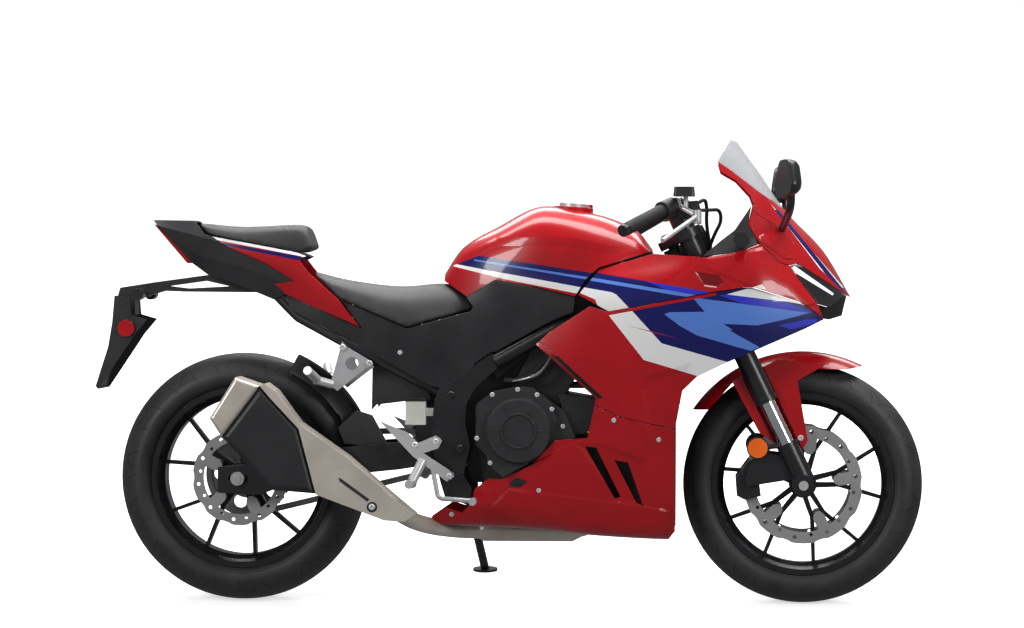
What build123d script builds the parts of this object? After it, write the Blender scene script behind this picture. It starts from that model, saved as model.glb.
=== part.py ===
"""Sport bike, parked on its side stand.

Every piece is drawn in the upright bike's own axes, in millimetres: X forward, Y to the rider's left, Z up,
with the ground at Z = 0 under the middle of the wheelbase. On export each piece leans over with the bike, and
moves so that the origin is the middle of the parked bike's footprint.
"""
from math import asin, atan2, cos, degrees, hypot, pi, radians, sin, tan
import os

from build123d import *

os.makedirs("parts", exist_ok=True)

# Whole bike
WHEELBASE = 1410.0
LEAN = 10.0
RAKE = 25.5
TRAIL = 102.0
RUN_GAP = 0.4
SEAT_GAP = 0.3
SKIN = 4.0

# Front wheel
FRONT_R = 300.0
FRONT_HALF = 60.0
FRONT_CROWN = 66.0
FRONT_RIM_HALF = 50.0
FRONT_AXLE_R = 12.0
FRONT_BORE_R = 8.0
FRONT_DISC_R = 148.0
FRONT_DISC_Y = 64.0
FRONT_BOLT_R = 89.0

# Rear wheel
REAR_R = 312.0
REAR_HALF = 80.0
REAR_CROWN = 90.0
REAR_RIM_HALF = 64.0
REAR_AXLE_R = 10.0
REAR_DISC_R = 120.0
REAR_DISC_Y = 92.0
DISC_THICK = 4.5

# Rim, shared by both wheels
SEAT_R = 216.0
FLANGE_R = 229.0
WELL_R = 198.0
RIM_WALL = 7.0
SPOKE_TURN = 8.0

# Drive
PITCH = 15.875
FRONT_TEETH = 15
REAR_TEETH = 41
CHAIN_Y = 100.0
CHAIN_HALF = 9.0
CHAIN_TALL = 15.0
SPROCKET_X = -118.0
SPROCKET_Z = 388.0

# Steering
YOKE_OFFSET = 44.0
LEG_Y = 97.0
OUTER_TUBE_R = 27.0
INNER_TUBE_R = 20.5
STEM_R = 14.5
HEAD_R = 30.0
LOWER_YOKE_H = 735.0
TOP_YOKE_H = 905.0
YOKE_THICK = 30.0

front_axle = Vector(WHEELBASE / 2, 0, FRONT_R)
rear_axle = Vector(-WHEELBASE / 2, 0, REAR_R)
up_fork = Vector(-sin(radians(RAKE)), 0, cos(radians(RAKE)))
ahead_fork = Vector(cos(radians(RAKE)), 0, sin(radians(RAKE)))
steer_ground_x = front_axle.X + TRAIL

pieces = {}


def keep(part, label):
    """Gives a finished piece its name and keeps it for the export."""
    part.label = label
    pieces[label] = part


def side(y):
    """Drawing plane of a side view: X to the right, Z up, at this Y. It extrudes towards the right-hand side."""
    return Plane.XZ.offset(-y)


def steer_point(height):
    """Point of the steering axis at this height."""
    return Vector(steer_ground_x - height * tan(radians(RAKE)), 0, height)


def fork_point(height, y=0.0):
    """Point of a fork leg's centreline level, along the steering axis, with this height of that axis."""
    return steer_point(height) + ahead_fork * YOKE_OFFSET + Vector(0, y, 0)


def rod(start, end, radius):
    """Round bar between two points."""
    axis = Vector(*end) - Vector(*start)
    with BuildPart() as bar:
        with BuildSketch(Plane(origin=start, z_dir=axis)):
            Circle(radius)
        extrude(amount=axis.length)
    return bar.part


def bent_rod(points, radius, bend):
    """Round bar that follows straight runs joined by arcs of one bend radius."""
    with BuildPart() as bar:
        with BuildLine() as path:
            FilletPolyline(*points, radius=bend)
        first = path.line.edges().sort_by_distance(Vector(*points[0]))[0]
        start = Vector(*points[0])
        with BuildSketch(Plane(origin=start, z_dir=Vector(*points[1]) - start)):
            Circle(radius)
        sweep(path=path.line)
    return bar.part


def mirrored_points(points):
    """A closed section from its right-hand points, listed from top to bottom as (half width, height)."""
    return [(-y, z) for y, z in points] + [(y, z) for y, z in reversed(points)]


def envelope(stations, inset=0.0, ruled=False):
    """Body lofted through cross-sections. Each row is a station X and its (half width, height) points."""
    with BuildPart() as body:
        for x, *points in stations:
            with BuildSketch(Plane.YZ.offset(x)):
                Polygon(*mirrored_points(points), align=None)
                if inset:
                    offset(amount=-inset, kind=Kind.INTERSECTION)
        loft(ruled=ruled)
    return body.part


def skin_of(stations, wall, ruled=True):
    """The outer wall of an envelope."""
    with BuildPart() as wall_part:
        add(envelope(stations, 0.0, ruled))
        add(envelope(stations, wall, ruled), mode=Mode.SUBTRACT)
    return wall_part.part


def both_sides(part):
    """A right-hand part and its mirror image."""
    with BuildPart() as pair:
        add(part)
        mirror(about=Plane.XZ)
    return pair.part


# Wheels
def rim_profile(half):
    """Rim's section as (distance from the middle plane, radius)."""
    outer = [
        (half, FLANGE_R),
        (half - 4.5, FLANGE_R),
        (half - 4.5, SEAT_R + 1),
        (half - 20, SEAT_R - 1),
        (half - 28, WELL_R + RIM_WALL),
    ]
    inner = [(half - 30, WELL_R), (half - 22, WELL_R + 9), (half, SEAT_R - 2)]
    return outer + [(-y, r) for y, r in reversed(outer)] + [(-y, r) for y, r in reversed(inner)] + inner


def wheel_plane(axle):
    """Section plane of a wheel: local x is Y of the bike, local y is the radius."""
    return Plane(origin=axle, x_dir=(0, 1, 0), z_dir=(1, 0, 0))


def make_tyre(axle, outer_r, half, crown, rim_half):
    """Hollow tyre whose beads sit on the rim's seats."""
    heel = rim_half - 4.5 - SEAT_GAP
    lip = FLANGE_R + SEAT_GAP
    seat = SEAT_R + 1 + SEAT_GAP
    edge_y = half * 0.9
    edge_r = outer_r - crown + (crown**2 - edge_y**2) ** 0.5
    wall = 8.0
    with BuildPart() as tyre:
        with BuildSketch(wheel_plane(axle)):
            with BuildLine():
                for s in (1, -1):
                    Polyline((s * heel, seat), (s * heel, lip), (s * (rim_half + 1), lip + 1))
                    ThreePointArc((s * (rim_half + 1), lip + 1), (s * half, (lip + edge_r) / 2),
                                  (s * edge_y, edge_r))
                    Polyline((s * heel, seat), (s * (heel - 9), seat), (s * (heel - 7), lip))
                    ThreePointArc(
                        (s * (heel - 7), lip), (s * (half - wall),
                                                (lip + edge_r) / 2), (s * (edge_y - wall), edge_r - 6)
                    )
                ThreePointArc((edge_y, edge_r), (0, outer_r), (-edge_y, edge_r))
                ThreePointArc((edge_y - wall, edge_r - 6), (0, outer_r - wall - 2),
                              (wall - edge_y, edge_r - 6))
            make_face()
        revolve(axis=Axis(axle, (0, 1, 0)))
    return tyre.part


def make_wheel(axle, half, hub_r, hub_half, bore_r, spoke_half, bolt_r, boss_from, boss_to):
    """Cast wheel: rim, ten thin spokes in five pairs, hub, and a boss in each pair for the brake disc."""
    hub_turn, mid_turn, rim_turn = 17.0, 10.0, 18.0
    mid_r = FRONT_BOLT_R
    rim_r = WELL_R + 3

    def polar(r, turn, shift):
        a = radians(turn)
        return (r * cos(a) - shift * sin(a), r * sin(a) + shift * cos(a))

    with BuildPart() as wheel:
        with BuildSketch(wheel_plane(axle)):
            Polygon(*rim_profile(half), align=None)
        revolve(axis=Axis(axle, (0, 1, 0)))
        with BuildSketch(Plane(origin=axle + Vector(0, spoke_half, 0), x_dir=(1, 0, 0), z_dir=(0, -1, 0))):
            for k in range(5):
                with Locations(Rotation(0, 0, SPOKE_TURN + 72 * k)):
                    for s in (1, -1):
                        Polygon(
                            polar(hub_r - 6, s * hub_turn, 7),
                            polar(hub_r - 6, s * hub_turn, -7),
                            polar(mid_r, s * mid_turn, -5.5),
                            polar(rim_r, s * rim_turn, -4.5),
                            polar(rim_r, s * rim_turn, 4.5),
                            polar(mid_r, s * mid_turn, 5.5),
                            align=None,
                        )
                    with Locations((mid_r, 0)):
                        Rectangle(15, 34)
        extrude(amount=2 * spoke_half)
        for y0, y1 in zip(boss_from, boss_to):
            with BuildSketch(Plane(origin=axle + Vector(0, y1, 0), x_dir=(1, 0, 0), z_dir=(0, -1, 0))):
                for k in range(5):
                    with Locations(Rotation(0, 0, SPOKE_TURN + 72 * k)):
                        with Locations((bolt_r, 0)):
                            Circle(11)
            extrude(amount=y1 - y0)
        with BuildSketch(Plane(origin=axle + Vector(0, hub_half, 0), x_dir=(1, 0, 0), z_dir=(0, -1, 0))):
            Circle(hub_r)
        extrude(amount=2 * hub_half)
        with BuildSketch(Plane(origin=axle + Vector(0, hub_half, 0), x_dir=(1, 0, 0), z_dir=(0, -1, 0))):
            Circle(bore_r)
        extrude(amount=2 * hub_half, mode=Mode.SUBTRACT)
    return wheel.part


def make_disc(axle, y, outer_r, inner_r, tab_r, holes):
    """Brake disc with a scalloped edge, drilled holes and, where it has them, five mounting tabs."""
    lobes = 10
    with BuildPart() as disc:
        with BuildSketch(Plane(origin=axle + Vector(0, y + DISC_THICK / 2, 0), x_dir=(1, 0, 0),
                               z_dir=(0, -1, 0))):
            Circle(outer_r)
            with PolarLocations(outer_r + 52, lobes):
                Circle(56, mode=Mode.SUBTRACT)
            Circle(inner_r, mode=Mode.SUBTRACT)
            if tab_r:
                for k in range(5):
                    with Locations(Rotation(0, 0, SPOKE_TURN + 72 * k)):
                        with Locations(((inner_r + tab_r) / 2 + 2, 0)):
                            Rectangle(inner_r - tab_r + 8, 30)
                        with Locations((tab_r, 0)):
                            Circle(13)
            for r, turn, hole_r in holes:
                with PolarLocations(r, lobes, start_angle=turn):
                    Circle(hole_r, mode=Mode.SUBTRACT)
        extrude(amount=DISC_THICK)
    return disc.part


keep(make_tyre(front_axle, FRONT_R, FRONT_HALF, FRONT_CROWN, FRONT_RIM_HALF), "front_tyre")
keep(make_tyre(rear_axle, REAR_R, REAR_HALF, REAR_CROWN, REAR_RIM_HALF), "rear_tyre")
front_boss = FRONT_DISC_Y - DISC_THICK / 2 - SEAT_GAP
keep(
    make_wheel(front_axle, FRONT_RIM_HALF, 34, 62, FRONT_AXLE_R + RUN_GAP, 13, FRONT_BOLT_R,
               (-front_boss, 12), (-12, front_boss)),
    "front_wheel",
)
keep(
    both_sides(make_disc(front_axle, FRONT_DISC_Y, FRONT_DISC_R, 119, FRONT_BOLT_R,
                         ((133, 9, 5), (127, 27, 4.5)))),
    "front_discs",
)

REAR_BOLT_R = 66.0
rear_boss = REAR_DISC_Y - DISC_THICK / 2 - SEAT_GAP
keep(
    make_wheel(rear_axle, REAR_RIM_HALF, 38, rear_boss - 6, REAR_AXLE_R + RUN_GAP, 16, REAR_BOLT_R,
               (-rear_boss, 14), (-14, 60)),
    "rear_wheel",
)
keep(
    make_disc(rear_axle, -REAR_DISC_Y, REAR_DISC_R, 92, REAR_BOLT_R, ((106, 9, 4.5), (101, 27, 4))),
    "rear_disc",
)

# Rear sprocket, bolted to its carrier
SPROCKET_THICK = 7.0
TOOTH_TALL = 5.0
CARRIER_R = 62.0


def pitch_radius(teeth):
    """Radius on which a sprocket's chain pins run."""
    return PITCH / (2 * sin(pi / teeth))


def sprocket_face(teeth, bore):
    """Sprocket's outline with trapezoid teeth, in the open sketch."""
    root = pitch_radius(teeth) - TOOTH_TALL
    turn = 360 / teeth
    points = []
    for k in range(teeth):
        for share, r in ((-0.30, root), (-0.14, root + 2 * TOOTH_TALL), (0.14, root + 2 * TOOTH_TALL),
                         (0.30, root)):
            a = radians((k + share) * turn)
            points.append((r * cos(a), r * sin(a)))
    Polygon(*points, align=None)
    Circle(bore, mode=Mode.SUBTRACT)


carrier_from = rear_boss - 6 + SEAT_GAP
carrier_to = CHAIN_Y - SPROCKET_THICK / 2
with BuildPart() as sprocket:
    with BuildSketch(Plane(origin=rear_axle + Vector(0, CHAIN_Y + SPROCKET_THICK / 2, 0), x_dir=(1, 0, 0),
                           z_dir=(0, -1, 0))):
        sprocket_face(REAR_TEETH, 30)
        with PolarLocations(74, 5, start_angle=36):
            Circle(17, mode=Mode.SUBTRACT)
    extrude(amount=SPROCKET_THICK)
    with BuildSketch(Plane(origin=rear_axle + Vector(0, carrier_to, 0), x_dir=(1, 0, 0), z_dir=(0, -1, 0))):
        Circle(CARRIER_R)
        Circle(REAR_AXLE_R + 8, mode=Mode.SUBTRACT)
    extrude(amount=carrier_to - carrier_from)
keep(sprocket.part, "rear_sprocket")

# Chain: two bands of side plates, held apart by rollers on the straight runs
PLATE_THICK = 3.0
ROLLER_R = 5.0
front_sprocket = Vector(SPROCKET_X, 0, SPROCKET_Z)
front_r = pitch_radius(FRONT_TEETH)
rear_r = pitch_radius(REAR_TEETH)
run = hypot(SPROCKET_X - rear_axle.X, SPROCKET_Z - rear_axle.Z)
run_turn = degrees(atan2(SPROCKET_Z - rear_axle.Z, SPROCKET_X - rear_axle.X))
fan = degrees(asin((rear_r - front_r) / run))


def run_end(centre, r, s):
    """Where a straight run leaves a sprocket, as (X, Z). s is 1 for the upper run and -1 for the lower."""
    a = radians(run_turn + s * (90 - fan))
    return (centre.X + r * cos(a), centre.Z + r * sin(a))


def chain_loop(grow):
    """Closed line round both sprockets, this far outside the pins' line."""
    rear_top, rear_low = run_end(rear_axle, rear_r + grow, 1), run_end(rear_axle, rear_r + grow, -1)
    front_top, front_low = run_end(front_sprocket, front_r + grow, 1), run_end(front_sprocket,
            front_r + grow, -1)
    back = radians(run_turn + 180)
    ahead = radians(run_turn)
    Line(rear_top, front_top)
    ThreePointArc(
        front_top,
        (front_sprocket.X + (front_r + grow) * cos(ahead), front_sprocket.Z + (front_r + grow) * sin(ahead)),
        front_low,
    )
    Line(front_low, rear_low)
    ThreePointArc(
        rear_low, (rear_axle.X + (rear_r + grow) * cos(back),
                   rear_axle.Z + (rear_r + grow) * sin(back)), rear_top
    )


with BuildPart() as chain:
    for y in (CHAIN_Y + CHAIN_HALF, CHAIN_Y - CHAIN_HALF + PLATE_THICK):
        with BuildSketch(side(y)):
            with BuildLine():
                chain_loop(CHAIN_TALL / 2)
            make_face()
            with BuildLine():
                chain_loop(-CHAIN_TALL / 2)
            make_face(mode=Mode.SUBTRACT)
        extrude(amount=PLATE_THICK)
    with BuildSketch(side(CHAIN_Y + CHAIN_HALF - PLATE_THICK)):
        for s in (1, -1):
            start, end = run_end(rear_axle, rear_r, s), run_end(front_sprocket, front_r, s)
            rollers = int(run / PITCH) - 2
            for k in range(4, rollers - 2):
                share = k / rollers
                with Locations((start[0] + (end[0] - start[0]) * share,
                                start[1] + (end[1] - start[1]) * share)):
                    RegularPolygon(ROLLER_R, 6)
    extrude(amount=2 * (CHAIN_HALF - PLATE_THICK))
keep(chain.part, "chain")

# Front fork
OUTER_LOW_H = 487.0
OUTER_TOP_H = 986.0
INNER_LOW_H = 385.0
FOOT_R = 27.0
with BuildPart() as outer_tubes:
    for y in (-LEG_Y, LEG_Y):
        add(rod(fork_point(OUTER_LOW_H, y), fork_point(OUTER_TOP_H, y), OUTER_TUBE_R))
        add(rod(fork_point(OUTER_LOW_H, y), fork_point(OUTER_LOW_H + 14, y), OUTER_TUBE_R + 2))
keep(outer_tubes.part, "fork_outer_tubes")

with BuildPart() as inner_tubes:
    for y in (-LEG_Y, LEG_Y):
        add(rod(fork_point(INNER_LOW_H, y), fork_point(OUTER_LOW_H, y), INNER_TUBE_R))
keep(inner_tubes.part, "fork_inner_tubes")

FOOT_HALF = FOOT_R
CALIPER_HALF = 24.0
LUG_THICK = 12.0
with BuildPart() as foot_half:
    add(rod(fork_point(INNER_LOW_H, -LEG_Y), fork_point(front_axle.Z - 8, -LEG_Y), FOOT_R))
    add(rod((front_axle.X, FOOT_HALF - LEG_Y, front_axle.Z),
            (front_axle.X, -LEG_Y - FOOT_HALF, front_axle.Z), FOOT_R))
    with BuildSketch(side(-FRONT_DISC_Y - CALIPER_HALF - SEAT_GAP)):
        Polygon((700, 318), (566, 296), (560, 316), (582, 372), (600, 380), (664, 372), align=None)
    extrude(amount=LUG_THICK)
    with BuildSketch(side(0)):
        with Locations((front_axle.X, front_axle.Z)):
            Circle(FRONT_AXLE_R + SEAT_GAP)
    extrude(amount=2 * LEG_Y, mode=Mode.SUBTRACT)
with BuildPart() as fork_feet:
    add(foot_half.part)
    mirror(about=Plane.XZ)
keep(fork_feet.part, "fork_feet")

with BuildPart() as axle:
    add(rod((front_axle.X, LEG_Y + FOOT_HALF + 6, front_axle.Z),
            (front_axle.X, -LEG_Y - FOOT_HALF - 4, front_axle.Z), FRONT_AXLE_R))
    for y0, y1 in ((LEG_Y - FOOT_HALF, 62 + RUN_GAP), (-62 - RUN_GAP, -LEG_Y + FOOT_HALF)):
        add(rod((front_axle.X, y0, front_axle.Z), (front_axle.X, y1, front_axle.Z), FRONT_AXLE_R + 7))
    with BuildSketch(side(LEG_Y + FOOT_HALF + 6)):
        with Locations((front_axle.X, front_axle.Z)):
            Circle(FRONT_BORE_R)
    extrude(amount=2 * LEG_Y + FOOT_HALF, mode=Mode.SUBTRACT)
keep(axle.part, "front_axle")

# Yokes and steering stem
with BuildPart() as yokes:
    for height, thick, back in ((LOWER_YOKE_H, YOKE_THICK, 26), (TOP_YOKE_H, YOKE_THICK - 8, 24)):
        with BuildSketch(Plane(origin=steer_point(height) - up_fork * thick / 2, x_dir=ahead_fork,
                               z_dir=up_fork)):
            with Locations((YOKE_OFFSET, LEG_Y), (YOKE_OFFSET, -LEG_Y)):
                Circle(OUTER_TUBE_R + 11)
            Circle(34)
            Polygon((-back, 34), (-back, -34), (YOKE_OFFSET - 26, -LEG_Y - 8), (YOKE_OFFSET + 22, -LEG_Y),
                    (YOKE_OFFSET + 8, 0), (YOKE_OFFSET + 22, LEG_Y), (YOKE_OFFSET - 26,
                            LEG_Y + 8), align=None)
            with Locations((YOKE_OFFSET, LEG_Y), (YOKE_OFFSET, -LEG_Y)):
                Circle(OUTER_TUBE_R, mode=Mode.SUBTRACT)
        extrude(amount=thick)
    add(rod(steer_point(LOWER_YOKE_H), steer_point(TOP_YOKE_H + 14), STEM_R))
    add(rod(steer_point(TOP_YOKE_H + 6), steer_point(TOP_YOKE_H + 22), 19))
keep(yokes.part, "fork_yokes")

# Handlebars, grips and levers
BAR_R = 11.0
GRIP_R = 16.0
bar_ring = fork_point(968, -LEG_Y)
grip_in = Vector(356, -242, 982)
grip_out = Vector(268, -364, 933)
grip_way = (grip_out - grip_in).normalized()


with BuildPart() as bar_half:
    add(rod(bar_ring - up_fork * 15, bar_ring + up_fork * 15, OUTER_TUBE_R + 10))
    add(bent_rod([bar_ring + Vector(4, -24, 4), grip_in - grip_way * 66, grip_out], BAR_R, 12))
    add(rod(fork_point(LOWER_YOKE_H, -LEG_Y), fork_point(OUTER_TOP_H, -LEG_Y), OUTER_TUBE_R),
        mode=Mode.SUBTRACT)
    add(rod(grip_out, grip_out + grip_way * 14, GRIP_R - 1))
keep(both_sides(bar_half.part), "handlebars")

with BuildPart() as grip:
    add(rod(grip_in, grip_out - grip_way * SEAT_GAP, GRIP_R))
    add(rod(grip_in, grip_in + grip_way * 5, GRIP_R + 6))
    add(rod(grip_in - grip_way, grip_out + grip_way, BAR_R + SEAT_GAP), mode=Mode.SUBTRACT)
keep(both_sides(grip.part), "grips")

with BuildPart() as switch:
    add(rod(grip_in - grip_way * 40, grip_in - grip_way * SEAT_GAP, 21))
    add(rod(grip_in - grip_way * 50, grip_in, BAR_R + SEAT_GAP), mode=Mode.SUBTRACT)
lever_pin = Vector(440, -232, 968)
lever_post = Vector(412, -214, 1015)
with BuildPart() as lever:
    add(rod(grip_in - grip_way * 55, grip_in - grip_way * 44.4, 18))
    add(rod(grip_in - grip_way * 52, lever_pin, 7))
    add(rod(lever_pin - Vector(0, 0, 14), lever_pin + Vector(0, 0, 14), 10))
    add(bent_rod([lever_pin, (414, -275, 948), (356, -356, 906)], 6, 30))
    add(rod(lever_post - Vector(0, 0, 36), lever_post, 6))
    add(rod(grip_in - grip_way * 60, grip_in, BAR_R + SEAT_GAP), mode=Mode.SUBTRACT)
keep(both_sides(lever.part), "levers")

with BuildPart() as reservoir:
    with BuildSketch(Plane.XY.offset(lever_post.Z + SEAT_GAP)):
        with Locations((lever_post.X - 4, lever_post.Y - 17)):
            RectangleRounded(54, 42, 9)
    extrude(amount=24, taper=6)
with BuildPart() as controls:
    add(both_sides(switch.part))
    add(reservoir.part)
keep(controls.part, "switch_housings")

# Front brake calipers and mudguard
with BuildPart() as caliper:
    with BuildSketch(side(-FRONT_DISC_Y + CALIPER_HALF)):
        Polygon((606, 366), (569, 360), (537, 316), (540, 272), (560, 262), (600, 272), (594, 318),
                align=None)
    extrude(amount=2 * CALIPER_HALF)
    with BuildSketch(side(-FRONT_DISC_Y + DISC_THICK / 2 + 5)):
        with Locations((front_axle.X, front_axle.Z)):
            Circle(FRONT_DISC_R + 5)
    extrude(amount=DISC_THICK + 10, mode=Mode.SUBTRACT)
keep(both_sides(caliper.part), "front_calipers")

FENDER_R = 322.0
with BuildPart() as fender:
    with BuildSketch(wheel_plane(front_axle)):
        with BuildLine():
            ThreePointArc((-72, FENDER_R - 36), (0, FENDER_R + 6), (72, FENDER_R - 36))
            Line((72, FENDER_R - 36), (75.5, FENDER_R - 34))
            ThreePointArc((75.5, FENDER_R - 34), (0, FENDER_R + 10), (-75.5, FENDER_R - 34))
            Line((-75.5, FENDER_R - 34), (-72, FENDER_R - 36))
        make_face()
    revolve(axis=Axis(front_axle, (0, 1, 0)), revolution_arc=360)
    with BuildSketch(side(120)):
        Polygon((428, 484), (469, 486), (528, 552), (600, 590), (706, 590), (812, 587), (858, 596),
                (820, 660),
                (500, 660), align=None)
    extrude(amount=240, mode=Mode.INTERSECT)
    for y in (-73, 93):
        with BuildSketch(side(y)):
            Polygon((528, 556), (596, 429), (640, 400), (697, 379), (716, 411), (690, 560), (760, 600),
                    (640, 612),
                    align=None)
        extrude(amount=20)
    for y in (-LEG_Y, LEG_Y):
        add(rod(fork_point(330, y), fork_point(640, y), OUTER_TUBE_R + 2 + SEAT_GAP), mode=Mode.SUBTRACT)
keep(fender.part, "front_mudguard")

# Frame: head tube, two main spars and a pivot plate each side
PLATE_Y = 118.0
PLATE_WIDE = 20.0
PIVOT_X = -150.0
PIVOT_Z = 387.0
PIVOT_R = 9.0
head_low = LOWER_YOKE_H + YOKE_THICK / 2 + 1
head_top = TOP_YOKE_H - YOKE_THICK / 2 + 2
SPAR_R = 19.0
spar_line = [steer_point(800) + Vector(-20, -14, 0), (330, -120, 770), (90, -135, 690), (-60, -126, 606)]
with BuildPart() as frame_half:
    add(bent_rod(spar_line, SPAR_R, 40))
    with BuildSketch(side(-PLATE_Y)):
        Polygon((-212, 512), (-220, 432), (-218, 386), (-197, 302), (-185, 264), (-124, 249), (-120, 287),
                (-141, 325),
                (-124, 394), (-136, 455), (-132, 501), (-113, 539), (-56, 590), (-70, 628), (-110,
                        600), (-150, 562), (-196, 548),
                align=None)
    extrude(amount=PLATE_WIDE)
with BuildPart() as frame:
    add(frame_half.part)
    mirror(about=Plane.XZ)
    add(rod(steer_point(head_low), steer_point(head_top), HEAD_R))
    add(rod((-172, PLATE_Y, 520), (-172, -PLATE_Y, 520), 14))
    add(rod((-176, PLATE_Y, 285), (-176, -PLATE_Y, 285), 14))
    add(rod(steer_point(head_low - 5), steer_point(head_top + 5), STEM_R + RUN_GAP), mode=Mode.SUBTRACT)

LOW_TUBE_Y = 108.0
LOW_TUBE_R = 13.0
UPPER_TUBE_Y = 104.0
UPPER_TUBE_R = 11.0
with BuildPart() as subframe:
    for s in (1, -1):
        front_y = s * (PLATE_Y - LOW_TUBE_R - SEAT_GAP)
        add(bent_rod([(-200, front_y, 527), (-454, s * LOW_TUBE_Y, 660), (-560, s * 88, 716),
                      (-640, s * 70, 796),
                      (-740, s * 44, 856)], LOW_TUBE_R, 60))
        upper_y = s * (PLATE_Y - UPPER_TUBE_R - SEAT_GAP)
        add(bent_rod([(-150, upper_y, 590), (-330, s * UPPER_TUBE_Y, 650), (-560, s * 80, 758),
                      (-612, s * 76, 776)],
                     UPPER_TUBE_R, 60))
    add(rod((-700, 52, 832), (-700, -52, 832), 9))
    add(rod((-440, LOW_TUBE_Y, 653), (-440, -LOW_TUBE_Y, 653), 9))
keep(subframe.part, "subframe")

# Engine: crankcase, forward-leaning cylinders and head
CASE_HALF = 165.0
CASE_LEFT = 86.0
CASE_STEP = -66.0
HEAD_BLOCK = [(-30, 520), (90, 484), (178, 650), (60, 700)]
with BuildPart() as engine:
    with BuildSketch(side(CASE_LEFT)):
        Polygon((-108, 500), (-64, 534), (35, 542), (112, 484), (138, 420), (110, 362), (-60, 352),
                (-108, 400),
                align=None)
    extrude(amount=CASE_LEFT + CASE_HALF)
    with BuildSketch(side(CASE_HALF)):
        Polygon((CASE_STEP, 530), (35, 542), (112, 484), (138, 420), (110, 362), (CASE_STEP, 352),
                align=None)
    extrude(amount=CASE_HALF - CASE_LEFT)
    with BuildSketch(side(CASE_LEFT)):
        Polygon((-108, 420), (-90, 256), (60, 256), (110, 300), (130, 400), align=None)
    extrude(amount=2 * CASE_LEFT)
    with BuildSketch(side(106)):
        Polygon(*HEAD_BLOCK, align=None)
    extrude(amount=212)
keep(engine.part, "engine")

CLUTCH_R = 82.0
with BuildPart() as clutch_cover:
    with BuildSketch(side(-CASE_HALF - SEAT_GAP)):
        Polygon((-102, 503), (-64, 534), (-3, 545), (35, 542), (77, 508), (94, 462), (80, 419), (22, 353),
                (-40, 321),
                (-66, 344), (-106, 420), align=None)
    extrude(amount=16)
    with BuildSketch(side(-181)):
        with Locations((0, 436)):
            Circle(CLUTCH_R)
    extrude(amount=22, taper=12)
    with BuildSketch(side(-203)):
        with Locations((0, 436)):
            Circle(44)
            Circle(40, mode=Mode.SUBTRACT)
    extrude(amount=4)

with BuildPart() as generator_cover:
    with BuildSketch(side(CASE_HALF + SEAT_GAP + 32)):
        with Locations((2, 434)):
            Circle(70)
    extrude(amount=32)
    with BuildSketch(side(CASE_HALF + SEAT_GAP + 14)):
        Polygon((CASE_STEP, 510), (-40, 522), (46, 512), (84, 450), (66, 395), (18, 352), (-40, 345),
                (CASE_STEP, 362), align=None)
    extrude(amount=14)
    with BuildSketch(side(CASE_HALF + SEAT_GAP + 14)):
        Polygon((CASE_STEP - SEAT_GAP, 500), (-104, 470), (-108, 340), (CASE_STEP - SEAT_GAP, 330),
                align=None)
    extrude(amount=CASE_HALF + SEAT_GAP + 14 - CHAIN_Y - CHAIN_HALF - 3)
    with BuildSketch(side(CASE_HALF + SEAT_GAP + 14)):
        Polygon((-70, 490), (-60, 490), (-60, 380), (-70, 380), align=None)
    extrude(amount=14)
with BuildPart() as engine_covers:
    add(clutch_cover.part)
    add(generator_cover.part)
keep(engine_covers.part, "engine_covers")

with BuildPart() as radiator:
    with BuildSketch(Plane(origin=(318, 0, 455), x_dir=(0, 1, 0), z_dir=(0.985, 0, 0.17))):
        Rectangle(250, 230)
    extrude(amount=36)
    with BuildSketch(Plane(origin=(318, 0, 455), x_dir=(0, 1, 0), z_dir=(0.985, 0, 0.17))):
        with Locations((-140, 0), (140, 0)):
            Rectangle(30, 245)
    extrude(amount=40)
    for s in (1, -1):
        add(rod((100, s * 90, 545), (310, s * 90, 545), 6))
    with BuildSketch(side(106)):
        Polygon(*HEAD_BLOCK, align=None)
    extrude(amount=212, mode=Mode.SUBTRACT)
keep(radiator.part, "radiator")

# Exhaust
MUFFLER_IN = -168.0
MUFFLER_OUT = -286.0
with BuildPart() as muffler_body:
    with BuildSketch(side(MUFFLER_IN)):
        Polygon((-632, 548), (-610, 522), (-537, 444), (-494, 283), (-608, 292), (-727, 422), align=None)
    extrude(amount=MUFFLER_IN - MUFFLER_OUT)
    fillet(muffler_body.edges().filter_by(GeomType.LINE).group_by(Axis.Y)[0], radius=16)
keep(muffler_body.part, "muffler_body")

with BuildPart() as muffler_cap:
    with BuildSketch(side(MUFFLER_IN + 2)):
        Polygon((-694, 569), (-632.2, 548.2), (-727.2, 422.2), (-757, 468), align=None)
    extrude(amount=MUFFLER_IN - MUFFLER_OUT + 4)
    fillet(muffler_cap.edges().filter_by(GeomType.LINE).group_by(Axis.Y)[0], radius=10)
    with BuildSketch(Plane(origin=(-728, (MUFFLER_IN + MUFFLER_OUT) / 2, 512), x_dir=(0, 1, 0),
                           z_dir=(-0.8, 0, 0.6))):
        Circle(30)
    extrude(amount=-40, mode=Mode.SUBTRACT)
keep(muffler_cap.part, "muffler_cap")

with BuildPart() as muffler_shield:
    with BuildSketch(side(MUFFLER_IN - 6)):
        Polygon((-621, 554), (-596, 536), (-537, 456), (-418, 373), (-316, 285), (-252, 232), (-276, 216),
                (-325, 219),
                (-493, 282), (-536, 443), (-609, 521), (-631, 547), align=None)
    extrude(amount=MUFFLER_IN - MUFFLER_OUT - 4)
keep(muffler_shield.part, "muffler_shield")

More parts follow.
